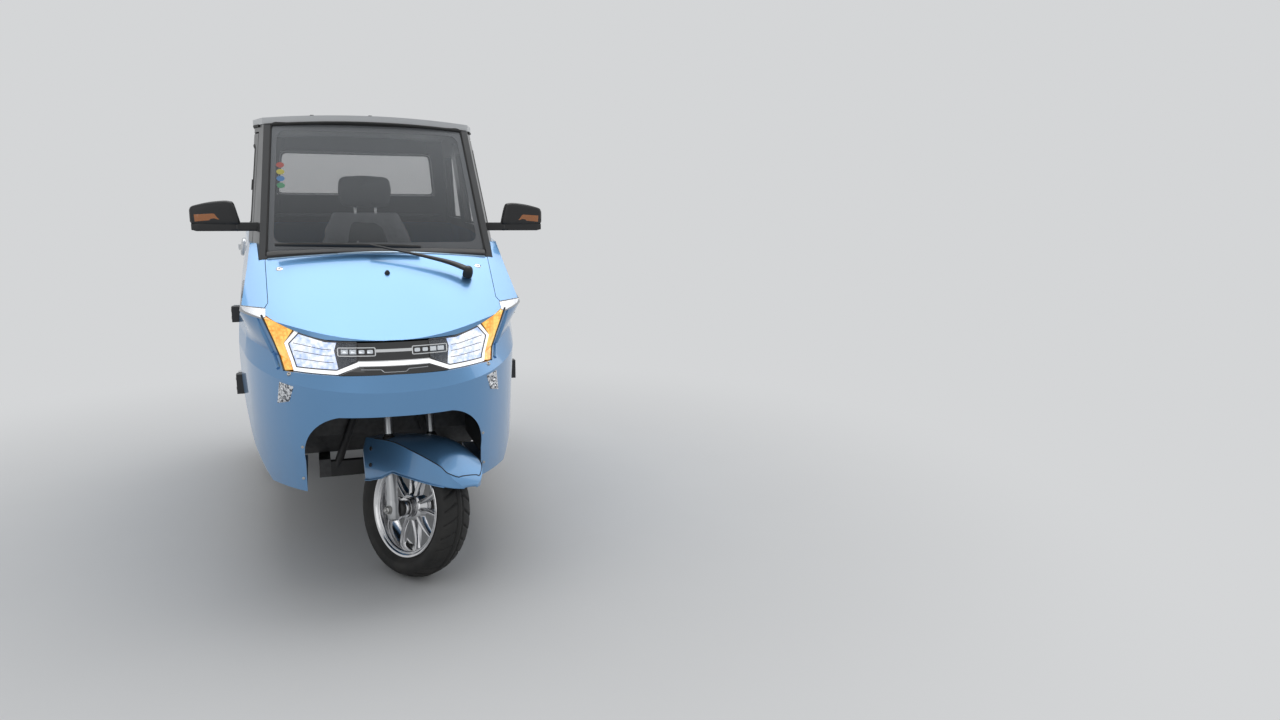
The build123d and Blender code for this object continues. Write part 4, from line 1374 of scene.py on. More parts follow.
@dataclass
class Windscreen(Assembly):
    """What goes with the windshield: its dark border, rubber, the cowl, four plain ovals and the wiper.

    The ovals hold their height, name and colour.
    """

    cabin: CabinForm
    hood: HoodForm
    edge: tuple[Flat, ...] = ((371, 1074), (342.5, 1531), (-342.5, 1531), (-371, 1074))
    inner: tuple[Flat, ...] = ((347, 1112), (322, 1503), (-322, 1503), (-347, 1112))
    ovals: tuple = ((1378, "red_oval", (0.55, 0.07, 0.04)), (1354, "yellow_oval", (0.70, 0.60, 0.05)),
                    (1330, "blue_oval", (0.06, 0.25, 0.58)), (1306, "green_oval", (0.07, 0.35, 0.16)))
    pivot: Point = (282.0, 152.0, 1008.0)
    blade: tuple[Point, Point] = ((-341.0, 268.0, 1108.0), (136.0, 252.0, 1098.0))

    def build(self) -> None:
        """Builds the pieces."""
        outer, inner = rounded(self.edge, 24, 280), rounded(self.inner, 34, 280)
        band = outer + (inner - outer) * unit(5)[:, None, None]
        self.put("windshield_border", self.cabin.screen(band, 7.2), BORDER, Form.DISC, facing=BORDER_OUT)
        seal = self.cabin.screen(rounded(self.edge, 24, 220), 5.0)
        self.bar("windshield_rubber", seal, circle(10, 4.5), RUBBER, SCREEN_OUT, closed=True)
        for z, name, colour in self.ovals:
            loop = filled(circle(28), 1 - unit(5)) * (13.5, 9.5) + (-316, z)
            paint = Finish(name, "gloss_black", colour, 0.35, drift=0.08, grain=(1200, 0.003, 0.3))
            self.put(name, self.cabin.screen(loop, 6.8), paint, Form.DISC, facing=BORDER_OUT)
        self.cowl()
        self.wiper()

    def cowl(self) -> None:
        """The black moulding between the hood and the glass, bowed with the screen."""
        x = np.linspace(-368, 368, 100)
        path = self.cabin.screen(joined(x, 1084 - 10 * (x / 368) ** 2), 1.0)
        self.bar("cowl_moulding", path, squircle(15.0, 5.0, 24, 3.0), TRIM_BLACK, (0, -0.6, 0.8))

    def wiper(self) -> None:
        """The wiper: a turned cap on its spindle, a tapered arm, a bridged frame and a rubber blade."""
        pivot = np.array(self.pivot)
        lean = self.hood.normal(self.pivot[0])
        cap = ((-14, 0), (-14, 17), (0, 17.5), (10, 16), (18, 13.5), (22, 9), (23, 0))
        self.spin("wiper_cap", cap, pivot + 8 * lean, lean, 32, TRIM_BLACK, slot="gloss_black", replaces=("wiper",))
        ends = np.array(self.blade)
        middle = ends[0] + (ends[1] - ends[0]) * 0.62
        route = np.stack([pivot + 20 * lean, pivot + (-60, 20, 41), pivot + (-170, 52, 68), middle + (10, -16, 6)])
        arm = smooth_path(route, 60)
        s = unit(60)
        width = 12.5 - 8.0 * smoothstep(s, 0.0, 0.85)
        depth = 6.5 - 3.5 * smoothstep(s, 0.2, 0.9)
        profile = sections(width, depth, 20, 3.0)
        self.bar("wiper_arm", arm, profile, TRIM_BLACK, tuple(lean), slot="gloss_black")
        line = ends[0] + (ends[1] - ends[0]) * unit(80)[:, None]
        bow = np.sin(np.linspace(0, math.pi, 80))[:, None]
        facing = np.array(SCREEN_OUT)
        frame = sections(6.0, 4.0 + 3.0 * bow[:, 0], 14, 3.0)
        self.bar("wiper_frame", line + facing * (2 + 5 * bow), frame, TRIM_BLACK, tuple(facing), slot="gloss_black")
        self.bar("wiper_rubber", line - facing * 4, squircle(1.6, 5.0, 12, 3.0), RUBBER, tuple(facing),
                 slot="gloss_black")


@dataclass
class Mirrors(Assembly):
    """Door mirrors: a horizontal bar from the pillar, a rounded housing over it, a repeater and the glass.

    The arm holds its inner and outer x and its low and high height; the housing's rows hold x, the low and high
    height, and the half-depth.
    """

    y: float = 405.0
    arm: tuple[float, float, float, float] = (392.0, 604.0, 1149.0, 1179.0)
    housing: tuple = ((452, 1172, 1180, 8), (458, 1171, 1204, 15), (469, 1170, 1243, 20), (482, 1170, 1251, 22),
                      (505, 1170, 1252, 22), (545, 1171, 1247, 22), (580, 1172, 1239, 20), (600, 1174, 1232, 16),
                      (607, 1180, 1222, 8))

    def build(self) -> None:
        """Builds a mirror on each side."""
        for side in Side:
            self.head(side)
            self.repeater(side)
            self.glass(side)

    def head(self, side: Side) -> None:
        """The housing as rounded sections across the car, and the bar under it.

        Args:
            side: which side of the car.
        """
        x, low, high, deep = smooth_path(self.housing, 48).T
        section = sections(deep, (high - low) / 2, 40, 4.4)
        middle = (low + high)[:, None] / 2
        shape = joined(x[:, None] * side.value, self.y - 2 + section[..., 0], middle + section[..., 1])
        self.put(f"mirror_housing_{side.word}", shape, TRIM_BLACK, Form.TUBE, replaces=side.only_left("mirrors"))
        x0, x1, z0, z1 = self.arm
        t = unit(40)
        path = joined((x0 + (x1 - x0) * t) * side.value, self.y + 1 - 2 * t, (z0 + z1) / 2)
        wide = 11.0 + 7.0 * smoothstep(t, 0.25, 0.42) - 5.0 * smoothstep(t, 0.9, 1.0)
        tall = (z1 - z0) / 2 * (1 - 0.25 * smoothstep(t, 0.92, 1.0))
        profile = sections(wide, tall, 28, 5.0)
        self.bar(f"mirror_bar_{side.word}", path, profile, TRIM_BLACK)
        joint = np.array((462.0 * side.value, self.y, (z0 + z1) / 2))
        self.spin(f"mirror_joint_{side.word}", ((-1.5, 0), (-1.5, 16), (1.5, 16), (1.5, 0)), joint, (1, 0, 0), 28,
                  GLOSS_BLACK, slot="dark_plastic")

    def repeater(self, side: Side) -> None:
        """The amber wedge on the housing's lower outer front, pointed at its inner end.

        Args:
            side: which side of the car.
        """
        u = unit(30)
        x = 515 + 88 * u
        low, high = 1189 - 8 * u, 1191 + 19 * smoothstep(u, 0.0, 0.2) - 5 * u
        v = unit(8)[:, None]
        z = low + (high - low) * v
        front = self.y - 2 - 21.5 + 9 * smoothstep(u, 0.72, 1.05) + 1.2 * (1 - v) ** 3
        shape = joined(x * side.value, front - 1.0, z)
        self.put(f"mirror_repeater_{side.word}", shape, REPEATER, facing=FRONT, wall=3.0, bevel=0.8)

    def glass(self, side: Side) -> None:
        """The mirror glass, facing the driver, with rounded corners.

        Args:
            side: which side of the car.
        """
        loop = rounded(((476, 1184), (592, 1186), (590, 1234), (500, 1244), (474, 1224)), 12, 90)
        rings = filled(loop, 1 - unit(6), loop.mean(0))
        shape = joined(rings[..., 0] * side.value, self.y + 20.6, rings[..., 1])
        self.put(f"mirror_glass_{side.word}", shape, MIRROR_GLASS, Form.DISC, facing=REAR, wall=1.5)


# Wheels and steering


@dataclass
class Wheel(Assembly):
    """A tyre and cast wheel about an axle: local points are along the axle, ahead of it and above it."""

    hub: Point
    rim_node: str
    tyre_node: str
    hub_half: float = 52.0
    bore: float = 8.0
    line: SteeringLine | None = None
    tyre: tuple[Flat, ...] = ((156, 39), (168, 41), (184, 55), (198, 60), (212, 57), (222, 48), (231, 28), (236.5, 0))
    tread_depth: float = 4.5
    blocks: int = 30
    tread_lean: float = 0.016
    groove_at: float = 10.5
    wall_rings: Flat = (186.0, 171.0)
    edge: tuple[Flat, ...] = ((18, 146), (38.5, 155), (40.2, 164), (42, 166.6), (44.5, 167), (46, 165), (45.6, 161),
                              (43, 157.5), (39, 154), (37.5, 150), (36, 147.5), (31, 145.5), (16, 141))
    leg: tuple[Flat, ...] = ((34, 11), (54, 15), (80, 21), (108, 32), (137, 51))

    def build(self) -> None:
        """Builds the tyre, rim, spokes, hub and valve."""
        self.build_tyre()
        self.build_rim()
        self.build_spokes()
        self.build_hub()

    def local(self, points: np.ndarray) -> np.ndarray:
        """Puts local points at the hub, parked at the steering angle where the wheel steers."""
        placed = np.asarray(points, float) * (1, -1, 1) + np.asarray(self.hub, float)
        return self.line.park(placed) if self.line else placed

    def spun(self, profile: np.ndarray, steps: int) -> np.ndarray:
        """A profile of distance along the axle and radius, spun about the axle."""
        return self.local(turned(profile, (0, 0, 0), (1, 0, 0), steps))

    @staticmethod
    def mirrored(half: Sequence[Flat]) -> np.ndarray:
        """A section from its outer half: the half, and then its mirror image backwards."""
        right = np.array(half, float)
        return np.vstack([right, (right * (-1, 1))[::-1]])

    def build_tyre(self) -> None:
        """The tyre: a smooth section spun about the axle.

        The tread is cut by two grooves round the middle and slanted grooves whose phase is the turn plus a share
        of the distance from the middle; the walls carry two raised rings.
        """
        half = smooth_path([(a, r) for r, a in self.tyre], 44)
        a, r = np.vstack([half[:-1], (half * (-1, 1))[::-1]]).T
        turn = np.linspace(0, 2 * math.pi, 420, endpoint=False)[:, None]
        phase = turn * self.blocks / (2 * math.pi) + self.tread_lean * np.abs(a) + 0.25 * np.sign(a)
        off = np.abs(phase - np.floor(phase) - 0.5)
        slanted = 1 - smoothstep(off, 0.05, 0.11)
        slanted = slanted * smoothstep(np.abs(a), 12, 15) * (1 - smoothstep(np.abs(a), 50, 57)) * (r > 205)
        round_cut = 1 - smoothstep(np.abs(np.abs(a) - self.groove_at), 1.6, 3.0)
        cut = np.maximum(slanted, round_cut * (r > 220)) * self.tread_depth
        upper, lower = (np.abs(r - ring) for ring in self.wall_rings)
        rings = 0.9 * (1 - smoothstep(upper, 0.6, 1.6)) + 0.8 * (1 - smoothstep(lower, 0.6, 1.8))
        radius = r - cut * smoothstep(r, 195, 224)
        wide = a * (1 - cut * (1 - smoothstep(r, 205, 228)) / 60) + np.sign(a) * rings
        shape = joined(wide, radius * np.cos(turn), radius * np.sin(turn))
        self.put(self.tyre_node.replace("tyre", "tread_tyre"), self.local(shape), TYRE, Form.RING,
                 replaces=(self.tyre_node,))

    def build_rim(self) -> None:
        """The rim: a closed section with a rolled lip and a second ring inside it, spun about the axle."""
        section = self.mirrored(self.edge)
        self.put(self.rim_node.replace("rim", "cast_rim"), self.spun(section, 144), ALLOY, Form.RING,
                 replaces=(self.rim_node,))
        for sign in (-1, 1):
            ring = circle(10, 2.6) + (sign * 37.5, 152.5)
            self.put(f"{self.rim_node}_ring_{'in' if sign < 0 else 'out'}", self.spun(ring, 144), CHROME, Form.RING,
                     slot="cast_alloy")

    def build_spokes(self) -> None:
        """Five forked spokes: two oval bars each, bent apart towards the rim and dished towards the hub."""
        shapes = []
        for k in range(5):
            turn = math.radians(90 + 72 * k)
            c, s = math.cos(turn), math.sin(turn)
            for sign in (-1, 1):
                leg = smooth_path(self.leg, 40) * (1, sign)
                path = joined(np.zeros(40), leg[:, 0] * c - leg[:, 1] * s, leg[:, 0] * s + leg[:, 1] * c)
                share = smoothstep(leg[:, 0], 40, 125)
                profile = sections(8.2 - 1.6 * share, 19 - 6 * share, 18, 2.6)
                shapes.append(self.local(along(path, profile, (1, 0, 0))))
        self.put(f"{self.rim_node}_spokes", shapes, ALLOY, Form.TUBE)

    def build_hub(self) -> None:
        """The ribbed hub with its bore, and the valve."""
        h = self.hub_half
        half = ((h, self.bore + 1), (h, 22), (h - 3, 25), (h - 8, 26), (h - 9, 33), (h - 13, 34.5), (h - 14, 30),
                (h - 17, 30), (h - 18, 37), (h - 22, 38), (h - 23, 33.5), (20, 34), (18.5, 45), (15, 48.5), (10, 49))
        self.put(f"{self.rim_node}_hub", self.spun(self.mirrored(half), 72), ALLOY, Form.RING)
        stem = ((0, 0), (0, 3.2), (20, 3.0), (21, 3.8), (30, 3.8), (31, 0))
        at = np.array((14.0, 0.0, 0.0)) + np.array((0, math.cos(0.94), math.sin(0.94))) * 141
        aim = np.array((0.45, -math.cos(0.94), -math.sin(0.94)))
        self.put(f"{self.rim_node}_valve", self.local(turned(stem, at, aim, 14)), CHROME, Form.SPUN,
                 slot="cast_alloy")


@dataclass
class Mudguard(Assembly):
    """The mudguard over the front wheel: a crowned top, sharp creases and side flaps bolted to the fork.

    The rows hold the distance ahead of the hub, the half-width, and the heights of the crease and the crown.
    """

    line: SteeringLine
    body: Body = field(default=Body.STEERING, kw_only=True)
    rows: tuple = ((-170, 114, 212, 222), (-20, 114, 229, 250), (90, 108, 219, 256), (165, 97, 206, 232),
                   (212, 82, 190, 197), (245, 58, 158, 162), (262, 26, 134, 136))
    foot: tuple[Flat, ...] = ((-165, 70), (-134, 75), (-59, 97), (0, 129), (264, 131))
    rear: tuple[Flat, ...] = ((75, -134), (165, -165), (220, -156), (300, -150))
    screws: tuple[Flat, ...] = ((-119, 182), (-112, 127))

    def form(self, ahead: np.ndarray) -> np.ndarray:
        """Half-width, crease and crown at places ahead of the hub, read from a smooth curve through the rows.

        Args:
            ahead: distances ahead of the hub.

        Returns:
            The three lengths, along a new last axis.
        """
        dense = smooth_path(self.rows, 400)
        order = np.argsort(dense[:, 0])
        return joined(*(np.interp(ahead, dense[order, 0], dense[order, k]) for k in (1, 2, 3)))

    def build(self) -> None:
        """Builds the skin, the creases' grooves, the lower bead and the screws."""
        u = unit(90)
        ahead = -165 + 427.5 * u**0.92
        half, crease, crown = self.form(ahead).T
        foot = np.interp(ahead, *np.array(self.foot, float).T)
        foot = np.minimum(foot, crease - 1)
        side = unit(14)
        wall_z = foot[:, None] + (crease - foot)[:, None] * side
        sag = np.maximum(crown - crease, 1.0)
        radius = (half**2 + sag**2) / (2 * sag)
        sweep = np.arcsin(np.clip(half / radius, -1, 1))
        t = np.linspace(1, -1, 41)[None, 1:-1]
        top_x = radius[:, None] * np.sin(sweep[:, None] * t)
        top_z = crown[:, None] - radius[:, None] * (1 - np.cos(sweep[:, None] * t))
        x = np.concatenate([np.repeat(half[:, None], 14, 1), top_x, np.repeat(-half[:, None], 14, 1)], 1)
        z = np.concatenate([wall_z, top_z, wall_z[:, ::-1]], 1)
        shift = np.interp(z, *np.array(self.rear, float).T) + 165
        y = ahead[:, None] + shift * (1 - u[:, None]) ** 3
        skin = self.at(x, y, z)
        self.put("mudguard", skin, BLUE_PAINT, facing=UP, wall=3.0, replaces=("front_fender",))
        over = np.vstack([skin[6:82:4, 13], skin[84, 16:-16:5], skin[81:5:-4, -14]])
        groove = along(smooth_path(over, 220), circle(8, 1.7), tuple(self.line.up))
        self.put("mudguard_groove", groove, RUBBER, Form.TUBE)
        beads = [along(skin[:-9, column], circle(10, 2.6), tuple(self.line.up)) for column in (0, -1)]
        self.put("mudguard_beads", beads, BLUE_PAINT, Form.TUBE)
        places, normals = [], []
        for sign in (-1, 1):
            for a, rise in self.screws:
                places.append(self.at(np.array(sign * (self.form(np.array(a))[0] + 1.0)), np.array(a), np.array(rise)))
                normals.append(self.line.park(self.line.hub + (sign, 0, 0)) - self.line.park(self.line.hub))
        self.screw("mudguard_screws", np.array(places), np.array(normals), 7.0, TRIM_BLACK)

    def at(self, x: np.ndarray, ahead: np.ndarray, rise: np.ndarray) -> np.ndarray:
        """Points beside, ahead of and above the hub, turned to the parked angle."""
        hub = self.line.hub
        return self.line.park(joined(x, hub[1] - ahead, hub[2] + rise))


@dataclass
class ForkFittings(Assembly):
    """The fork's seals, feet, axle nuts, washers and caps, and the bar's controls and cover."""

    line: SteeringLine
    body: Body = field(default=Body.STEERING, kw_only=True)
    leg_x: float = 89.0
    leg_top: float = 235.0

    def build(self) -> None:
        """Builds the fittings on both legs."""
        hub, up = self.line.hub, self.line.up
        across = self.line.park(hub + (1, 0, 0)) - self.line.park(hub)
        seal = ((-10, 0), (-10, 21), (4, 21.5), (8, 19), (10, 15.5), (16, 14.6), (16, 0))
        foot = ((-36, 0), (-36, 13), (-33, 17), (-29, 19.5), (22, 20.2), (30, 19.2), (30, 0))
        for sign, word in ((1, "left"), (-1, "right")):
            leg = hub + (sign * self.leg_x, 0, 0)
            tip = self.line.park(leg)
            lift = self.line.park(leg + up) - tip
            self.spin(f"fork_seal_{word}", seal, tip + lift * self.leg_top, lift, 36, RUBBER)
            self.spin(f"fork_foot_{word}", foot, tip, lift, 36, FORK_PAINT)
            out = across * sign
            nut = ((0, 0), (0, 13.5), (9, 13.5), (11, 11), (11, 7), (15, 7), (16, 5.5), (16, 0))
            self.spin(f"axle_nut_{word}", nut, tip + out * 18, out, 6, ZINC, slot="silver_paint", flat=True,
                      bevel=0.5)
            washer = ((-1, 0), (-1, 17), (1.5, 17), (1.5, 0))
            self.spin(f"axle_washer_{word}", washer, tip + out * 18.5, out, 28, ZINC, slot="silver_paint")
            spacer = ((16, 0), (16, 22), (22, 27), (34, 27), (36, 24), (36, 0))
            self.spin(f"axle_cap_{word}", spacer, tip, -out, 36, TRIM_BLACK)
        self.controls()

    def controls(self) -> None:
        """Brake levers, switch blocks and bar ends beside the grips, and a cover round the bar's middle."""
        base = np.array((0.0, 98.0 + (965.0 - self.line.hub[2]) * math.tan(self.line.rake), 965.0))
        for sign, word in ((1, "left"), (-1, "right")):
            root = base + (sign * 176, 58, 8)
            way = np.array((sign * 112.0, 82.0, -8.0))
            way /= np.linalg.norm(way)
            fore = np.cross(way, (0, 0, 1.0)) * sign
            block = np.array(((-2, 0), (-2, 19), (0, 21), (26, 21), (28, 19), (28, 0)))
            self.put(f"switch_block_{word}", self.line.park(turned(block, root - 20 * way, way, 24)), TRIM_BLACK,
                     Form.SPUN)
            path = [root - 6 * way + 18 * fore, root + 10 * way + 36 * fore, root + 60 * way + 40 * fore,
                    root + 110 * way + 34 * fore, root + 126 * way + 36 * fore]
            self.rod(f"brake_lever_{word}", self.line.park(np.array(path)), 4.2, FORK_PAINT, count=40)
            end = np.array(((0, 0), (0, 17.5), (3, 19.5), (9, 19.5), (12, 16), (12, 0)))
            self.put(f"bar_end_{word}", self.line.park(turned(end, root + 138 * way, way, 24)), TRIM_BLACK, Form.SPUN)
        t = np.linspace(-1, 1, 40)
        path = base + joined(t * 84, 2 + 6 * t**2, 3 + 4 * t**2)
        swell = 30 * (1 - 0.45 * np.abs(t) ** 3)
        profile = sections(swell, 0.8 * swell, 28, 3.2)
        self.put("bar_cover", self.line.park(along(path, profile)), TRIM_BLACK, Form.TUBE)


# Cabin, doors and tail


@dataclass(frozen=True)
class FlankForm:
    """The lower body's side: a parabola through sill, bulge and shoulder, blended along the car.

    The rows hold the distance behind the axle, then x and height of the sill, the bulge and the shoulder.
    """

    rows: tuple = (
        (60, 378, 345, 462, 680, 382, 1110),
        (240, 416, 342, 474, 690, 406, 1110),
        (440, 430, 338, 482, 690, 434, 1110),
        (1000, 458, 330, 502, 660, 474, 1130),
        (1600, 464, 330, 506, 640, 478, 1140),
        (2100, 440, 350, 490, 640, 462, 1140),
    )

    def place(self, flat: np.ndarray, side: int, out: float = 0.0) -> np.ndarray:
        """Sets side-view points on the body's left or right side, moved outwards.

        Args:
            flat: an array whose last axis is distance behind the axle and height.
            side: 1 for the left and -1 for the right.
            out: how far outside the face.

        Returns:
            The points.
        """
        table = np.array(self.rows, float)
        y, z = flat[..., 0], flat[..., 1]
        sx, sz, bx, bz, tx, tz = (np.interp(y, table[:, 0], table[:, k]) for k in range(1, 7))
        low = sx * (z - bz) * (z - tz) / ((sz - bz) * (sz - tz))
        mid = bx * (z - sz) * (z - tz) / ((bz - sz) * (bz - tz))
        top = tx * (z - sz) * (z - bz) / ((tz - sz) * (tz - bz))
        return joined(side * (low + mid + top + out), y, z)


@dataclass(frozen=True)
class TailForm:
    """The tail's face: plan outlines at four heights; the rows hold height, corner x, corner y and middle y."""

    rows: tuple = ((250, 420, 1880, 1912), (678, 430, 1940, 1976), (915, 425, 1912, 1950), (1190, 415, 1832, 1868))

    def place(self, flat: np.ndarray, out: float = 0.0) -> np.ndarray:
        """Sets rear-view points on the face, moved outwards: a parabola across, blended by height.

        Args:
            flat: an array whose last axis is x and height.
            out: how far outside the face.

        Returns:
            The points.
        """
        table = np.array(self.rows, float)
        x, z = flat[..., 0], flat[..., 1]
        half, corner, middle = (np.interp(z, table[:, 0], table[:, k]) for k in (1, 2, 3))
        return joined(x, middle - (middle - corner) * (x / half) ** 2 + out, z)


@dataclass
class Seat(Assembly):
    """The driver's seat: a cushion, a back and a headrest, each blown up as cloth from a smaller closed form."""

    cushion: Point = (206.0, 166.0, 30.0)
    cushion_at: Point = (0.0, 822.0, 602.0)
    back: tuple = ((612, 210, 1008, 1056), (760, 212, 1022, 1074), (905, 210, 1036, 1092), (1046, 176, 1052, 1108),
                   (1106, 154, 1058, 1116), (1166, 132, 1064, 1121), (1204, 118, 1070, 1124))
    head: tuple = ((1222, 84, 1078, 1118), (1242, 102, 1074, 1121), (1290, 110, 1068, 1118), (1336, 104, 1064, 1112),
                   (1352, 86, 1066, 1108))
    voxel: float = 0.006
    draft_voxel: float = 0.012
    draft_swell: float = 0.008
    swell_limit: float = 0.024
    seam_hold: float = 0.12
    seam_slope: float = 34.0
    seam_width: float = 9.0
    seam_depth: float = 0.0035
    filled_share: float = 0.85
    cloth_frames: int = 20
    pressure: float = 4.0
    stiffness: float = 12.0

    def build(self) -> None:
        """Builds the three pads and the headrest's posts."""
        self.pad("seat_cushion_pad", self.pillow(), ("seat_cushion",), self.cushion_seams)
        self.pad("seat_back_pad", self.slab(self.back), ("seat_back",), self.back_seams)
        self.pad("headrest_pad", self.slab(self.head), (), self.head_seams)
        self.film()
        for x in (-42.0, 42.0):
            path = [(x, 1094, 1180), (x, 1096, 1215), (x, 1092, 1250)]
            self.rod(f"headrest_post_{'right' if x < 0 else 'left'}", path, 6.0, CHROME)

    def pillow(self) -> np.ndarray:
        """The cushion's start: a box with rounded corners, as |x|^p + |y|^p = 1 swept over its height.

        Returns:
            A grid of points, height by outline.
        """
        a, b, h = self.cushion
        lift = np.linspace(-1, 1, 21)
        share = (1 - np.abs(lift) ** 5) ** 0.2
        ring = squircle(1.0, 1.0, 72, 6.0)
        x = a * (0.9 + 0.1 * share[:, None]) * ring[:, 0]
        y = b * (0.9 + 0.1 * share[:, None]) * ring[:, 1]
        crown = 1 - 0.18 * (np.abs(lift) > 0.99)[:, None]
        z = h * lift[:, None] * crown - 7 * smoothstep(y, -60, 160)
        return joined(x, y, z) + self.cushion_at

    @staticmethod
    def slab(rows: Sequence[Sequence[float]]) -> np.ndarray:
        """A back or headrest's start: rounded sections over its height, drawn in at both ends.

        Args:
            rows: height, half-width, and the front and rear faces' distance behind the axle.

        Returns:
            A grid of points, height by outline.
        """
        way = smooth_path(rows, 60)
        s = np.linspace(-1, 1, 60)
        ends = np.clip(1 - np.abs(s) ** 14, 0.05, 1) ** 0.35
        ring = squircle(1.0, 1.0, 64, 4.0)
        middle, deep = (way[:, 2] + way[:, 3]) / 2, (way[:, 3] - way[:, 2]) / 2
        x = way[:, 1:2] * (0.85 + 0.15 * ends[:, None]) * ring[:, 0]
        y = middle[:, None] + deep[:, None] * ends[:, None] * ring[:, 1]
        return joined(x, y, way[:, :1])

    def film(self) -> None:
        """A loose clear film over the back: the back's form grown and creased by ridged waves that fan upwards; its
        whitish tint is partly the film's milkiness and partly a painted sheen.
        """
        rows = np.array(self.back, float) + (0, 20, -22, 16)
        shape = self.slab(rows)[3:-1]
        x, z = shape[..., 0], shape[..., 2]
        fan = x * (1 + (1200 - z) / 900) / 19 + 0.9 * np.sin(z / 60)
        crease = 5.0 * (0.5 - np.abs(np.sin(fan))) * smoothstep(1230 - z, 0, 80) + 2.5 * np.sin(z / 23 + x / 40)
        middle = shape.mean(axis=1, keepdims=True)
        out = (shape - middle) / np.linalg.norm(shape - middle, axis=2, keepdims=True)
        self.put("seat_film", shape + out * crease[..., None], FILM_PAINTED_SHEEN, Form.DISC)

    def cushion_seams(self, p: np.ndarray) -> np.ndarray:
        """Distance to the cushion's sewn lines: two along the bolsters, two across the middle, one round the edge.

        Args:
            p: points in millimetres, one row each.

        Returns:
            One distance per point; 99 is far from any.
        """
        x, y, z = p.T
        inside = np.abs(x) < 138
        along_seam = np.where(z > 600, np.abs(np.abs(x) - 138), 99)
        cross = np.where(inside & (z > 600), np.minimum(np.abs(y - 762), np.abs(y - 872)), 99)
        edge = np.abs(z - 592 + 5 * smoothstep(y - 822, -60, 160))
        return np.minimum(np.minimum(along_seam, cross), edge)

    def back_seams(self, p: np.ndarray) -> np.ndarray:
        """Distance to the back's sewn lines: bolster seams that follow the taper, two across, one round the edge.

        Args:
            p: points in millimetres, one row each.

        Returns:
            One distance per point; 99 is far from any.
        """
        x, y, z = p.T
        rows = np.array(self.back, float)
        half = np.interp(z, rows[:, 0], rows[:, 1])
        middle = np.interp(z, rows[:, 0], (rows[:, 2] + rows[:, 3]) / 2)
        face = y < middle
        along_seam = np.where(face, np.abs(np.abs(x) - 0.66 * half), 99)
        cross = np.where(face & (np.abs(x) < 0.66 * half), np.minimum(np.abs(z - 790), np.abs(z - 960)), 99)
        edge = np.where(np.abs(x) > 0.8 * half, np.abs(y - middle - 8), 99)
        return np.minimum(np.minimum(along_seam, cross), edge)

    def head_seams(self, p: np.ndarray) -> np.ndarray:
        """Distance to the headrest's one seam, round its edge."""
        x, y, z = p.T
        return np.where((np.abs(x) > 60) | (np.abs(z - 1288) > 50), np.abs(y - 1098), 99)

    def pad(self, name: str, shape: np.ndarray, nodes: Sequence[str], seams: Callable) -> None:
        """Blows up one pad and draws its seams in.

        Args:
            name: the piece's name.
            shape: the closed starting form.
            nodes: the nodes that it stands for.
            seams: gives each point's distance to the nearest seam, in millimetres.
        """
        piece = self.put(name, shape, VINYL, Form.TUBE, replaces=nodes)
        piece.modifiers.new("even", "REMESH").mode = "VOXEL"
        piece.modifiers["even"].voxel_size = self.voxel
        self.bake(piece)
        start, normal = self.read(piece.data, "co"), self.read(piece.data, "normal")
        move = self.blown(piece) - start
        gap = seams(self.datum.unplace(start))
        length = np.linalg.norm(move, axis=1, keepdims=True)
        share = (self.seam_hold + (1 - self.seam_hold) * smoothstep(gap, 0, self.seam_slope))[:, None]
        move *= np.minimum(1.0, self.swell_limit * share / np.maximum(length, 1e-9))
        drawn = -self.seam_depth * (1 - smoothstep(gap, 0, self.seam_width))[:, None] * normal
        piece.data.vertices.foreach_set("co", (start + move + drawn).ravel())
        piece.data.update()
        piece.data.polygons.foreach_set("use_smooth", np.full(len(piece.data.polygons), True))
        sub = piece.modifiers.new("smooth", "SUBSURF")
        sub.levels = sub.render_levels = 1

    @staticmethod
    def read(mesh: bpy.types.Mesh, key: str) -> np.ndarray:
        """Reads a vector from every point of a mesh.

        Args:
            mesh: the mesh.
            key: "co" or "normal".

        Returns:
            One row per point.
        """
        values = np.zeros(len(mesh.vertices) * 3)
        mesh.vertices.foreach_get(key, values)
        return values.reshape(-1, 3)

    @staticmethod
    def bake(piece: bpy.types.Object) -> None:
        """Replaces the mesh by its modified self and drops the modifiers.

        Args:
            piece: the object.
        """
        graph = bpy.context.evaluated_depsgraph_get()
        mesh = bpy.data.meshes.new_from_object(piece.evaluated_get(graph), depsgraph=graph)
        piece.modifiers.clear()
        piece.data = mesh

    def blown(self, piece: bpy.types.Object) -> np.ndarray:
        """Runs the pad as cloth under inner pressure, without gravity.

        Args:
            piece: the pad, closed and evenly meshed.

        Returns:
            The points after the last frame, one row each.
        """
        cloth = piece.modifiers.new("cloth", "CLOTH")
        cloth.settings.use_pressure = True
        cloth.settings.uniform_pressure_force = self.pressure
        cloth.settings.effector_weights.gravity = 0.0
        cloth.settings.tension_stiffness = cloth.settings.compression_stiffness = self.stiffness
        cloth.point_cache.frame_start, cloth.point_cache.frame_end = 1, self.cloth_frames
        scene = bpy.context.scene
        for frame in range(1, self.cloth_frames + 1):
            scene.frame_set(frame)
        graph = bpy.context.evaluated_depsgraph_get()
        points = self.read(piece.evaluated_get(graph).to_mesh(), "co")
        piece.evaluated_get(graph).to_mesh_clear()
        piece.modifiers.clear()
        scene.frame_set(1)
        return points


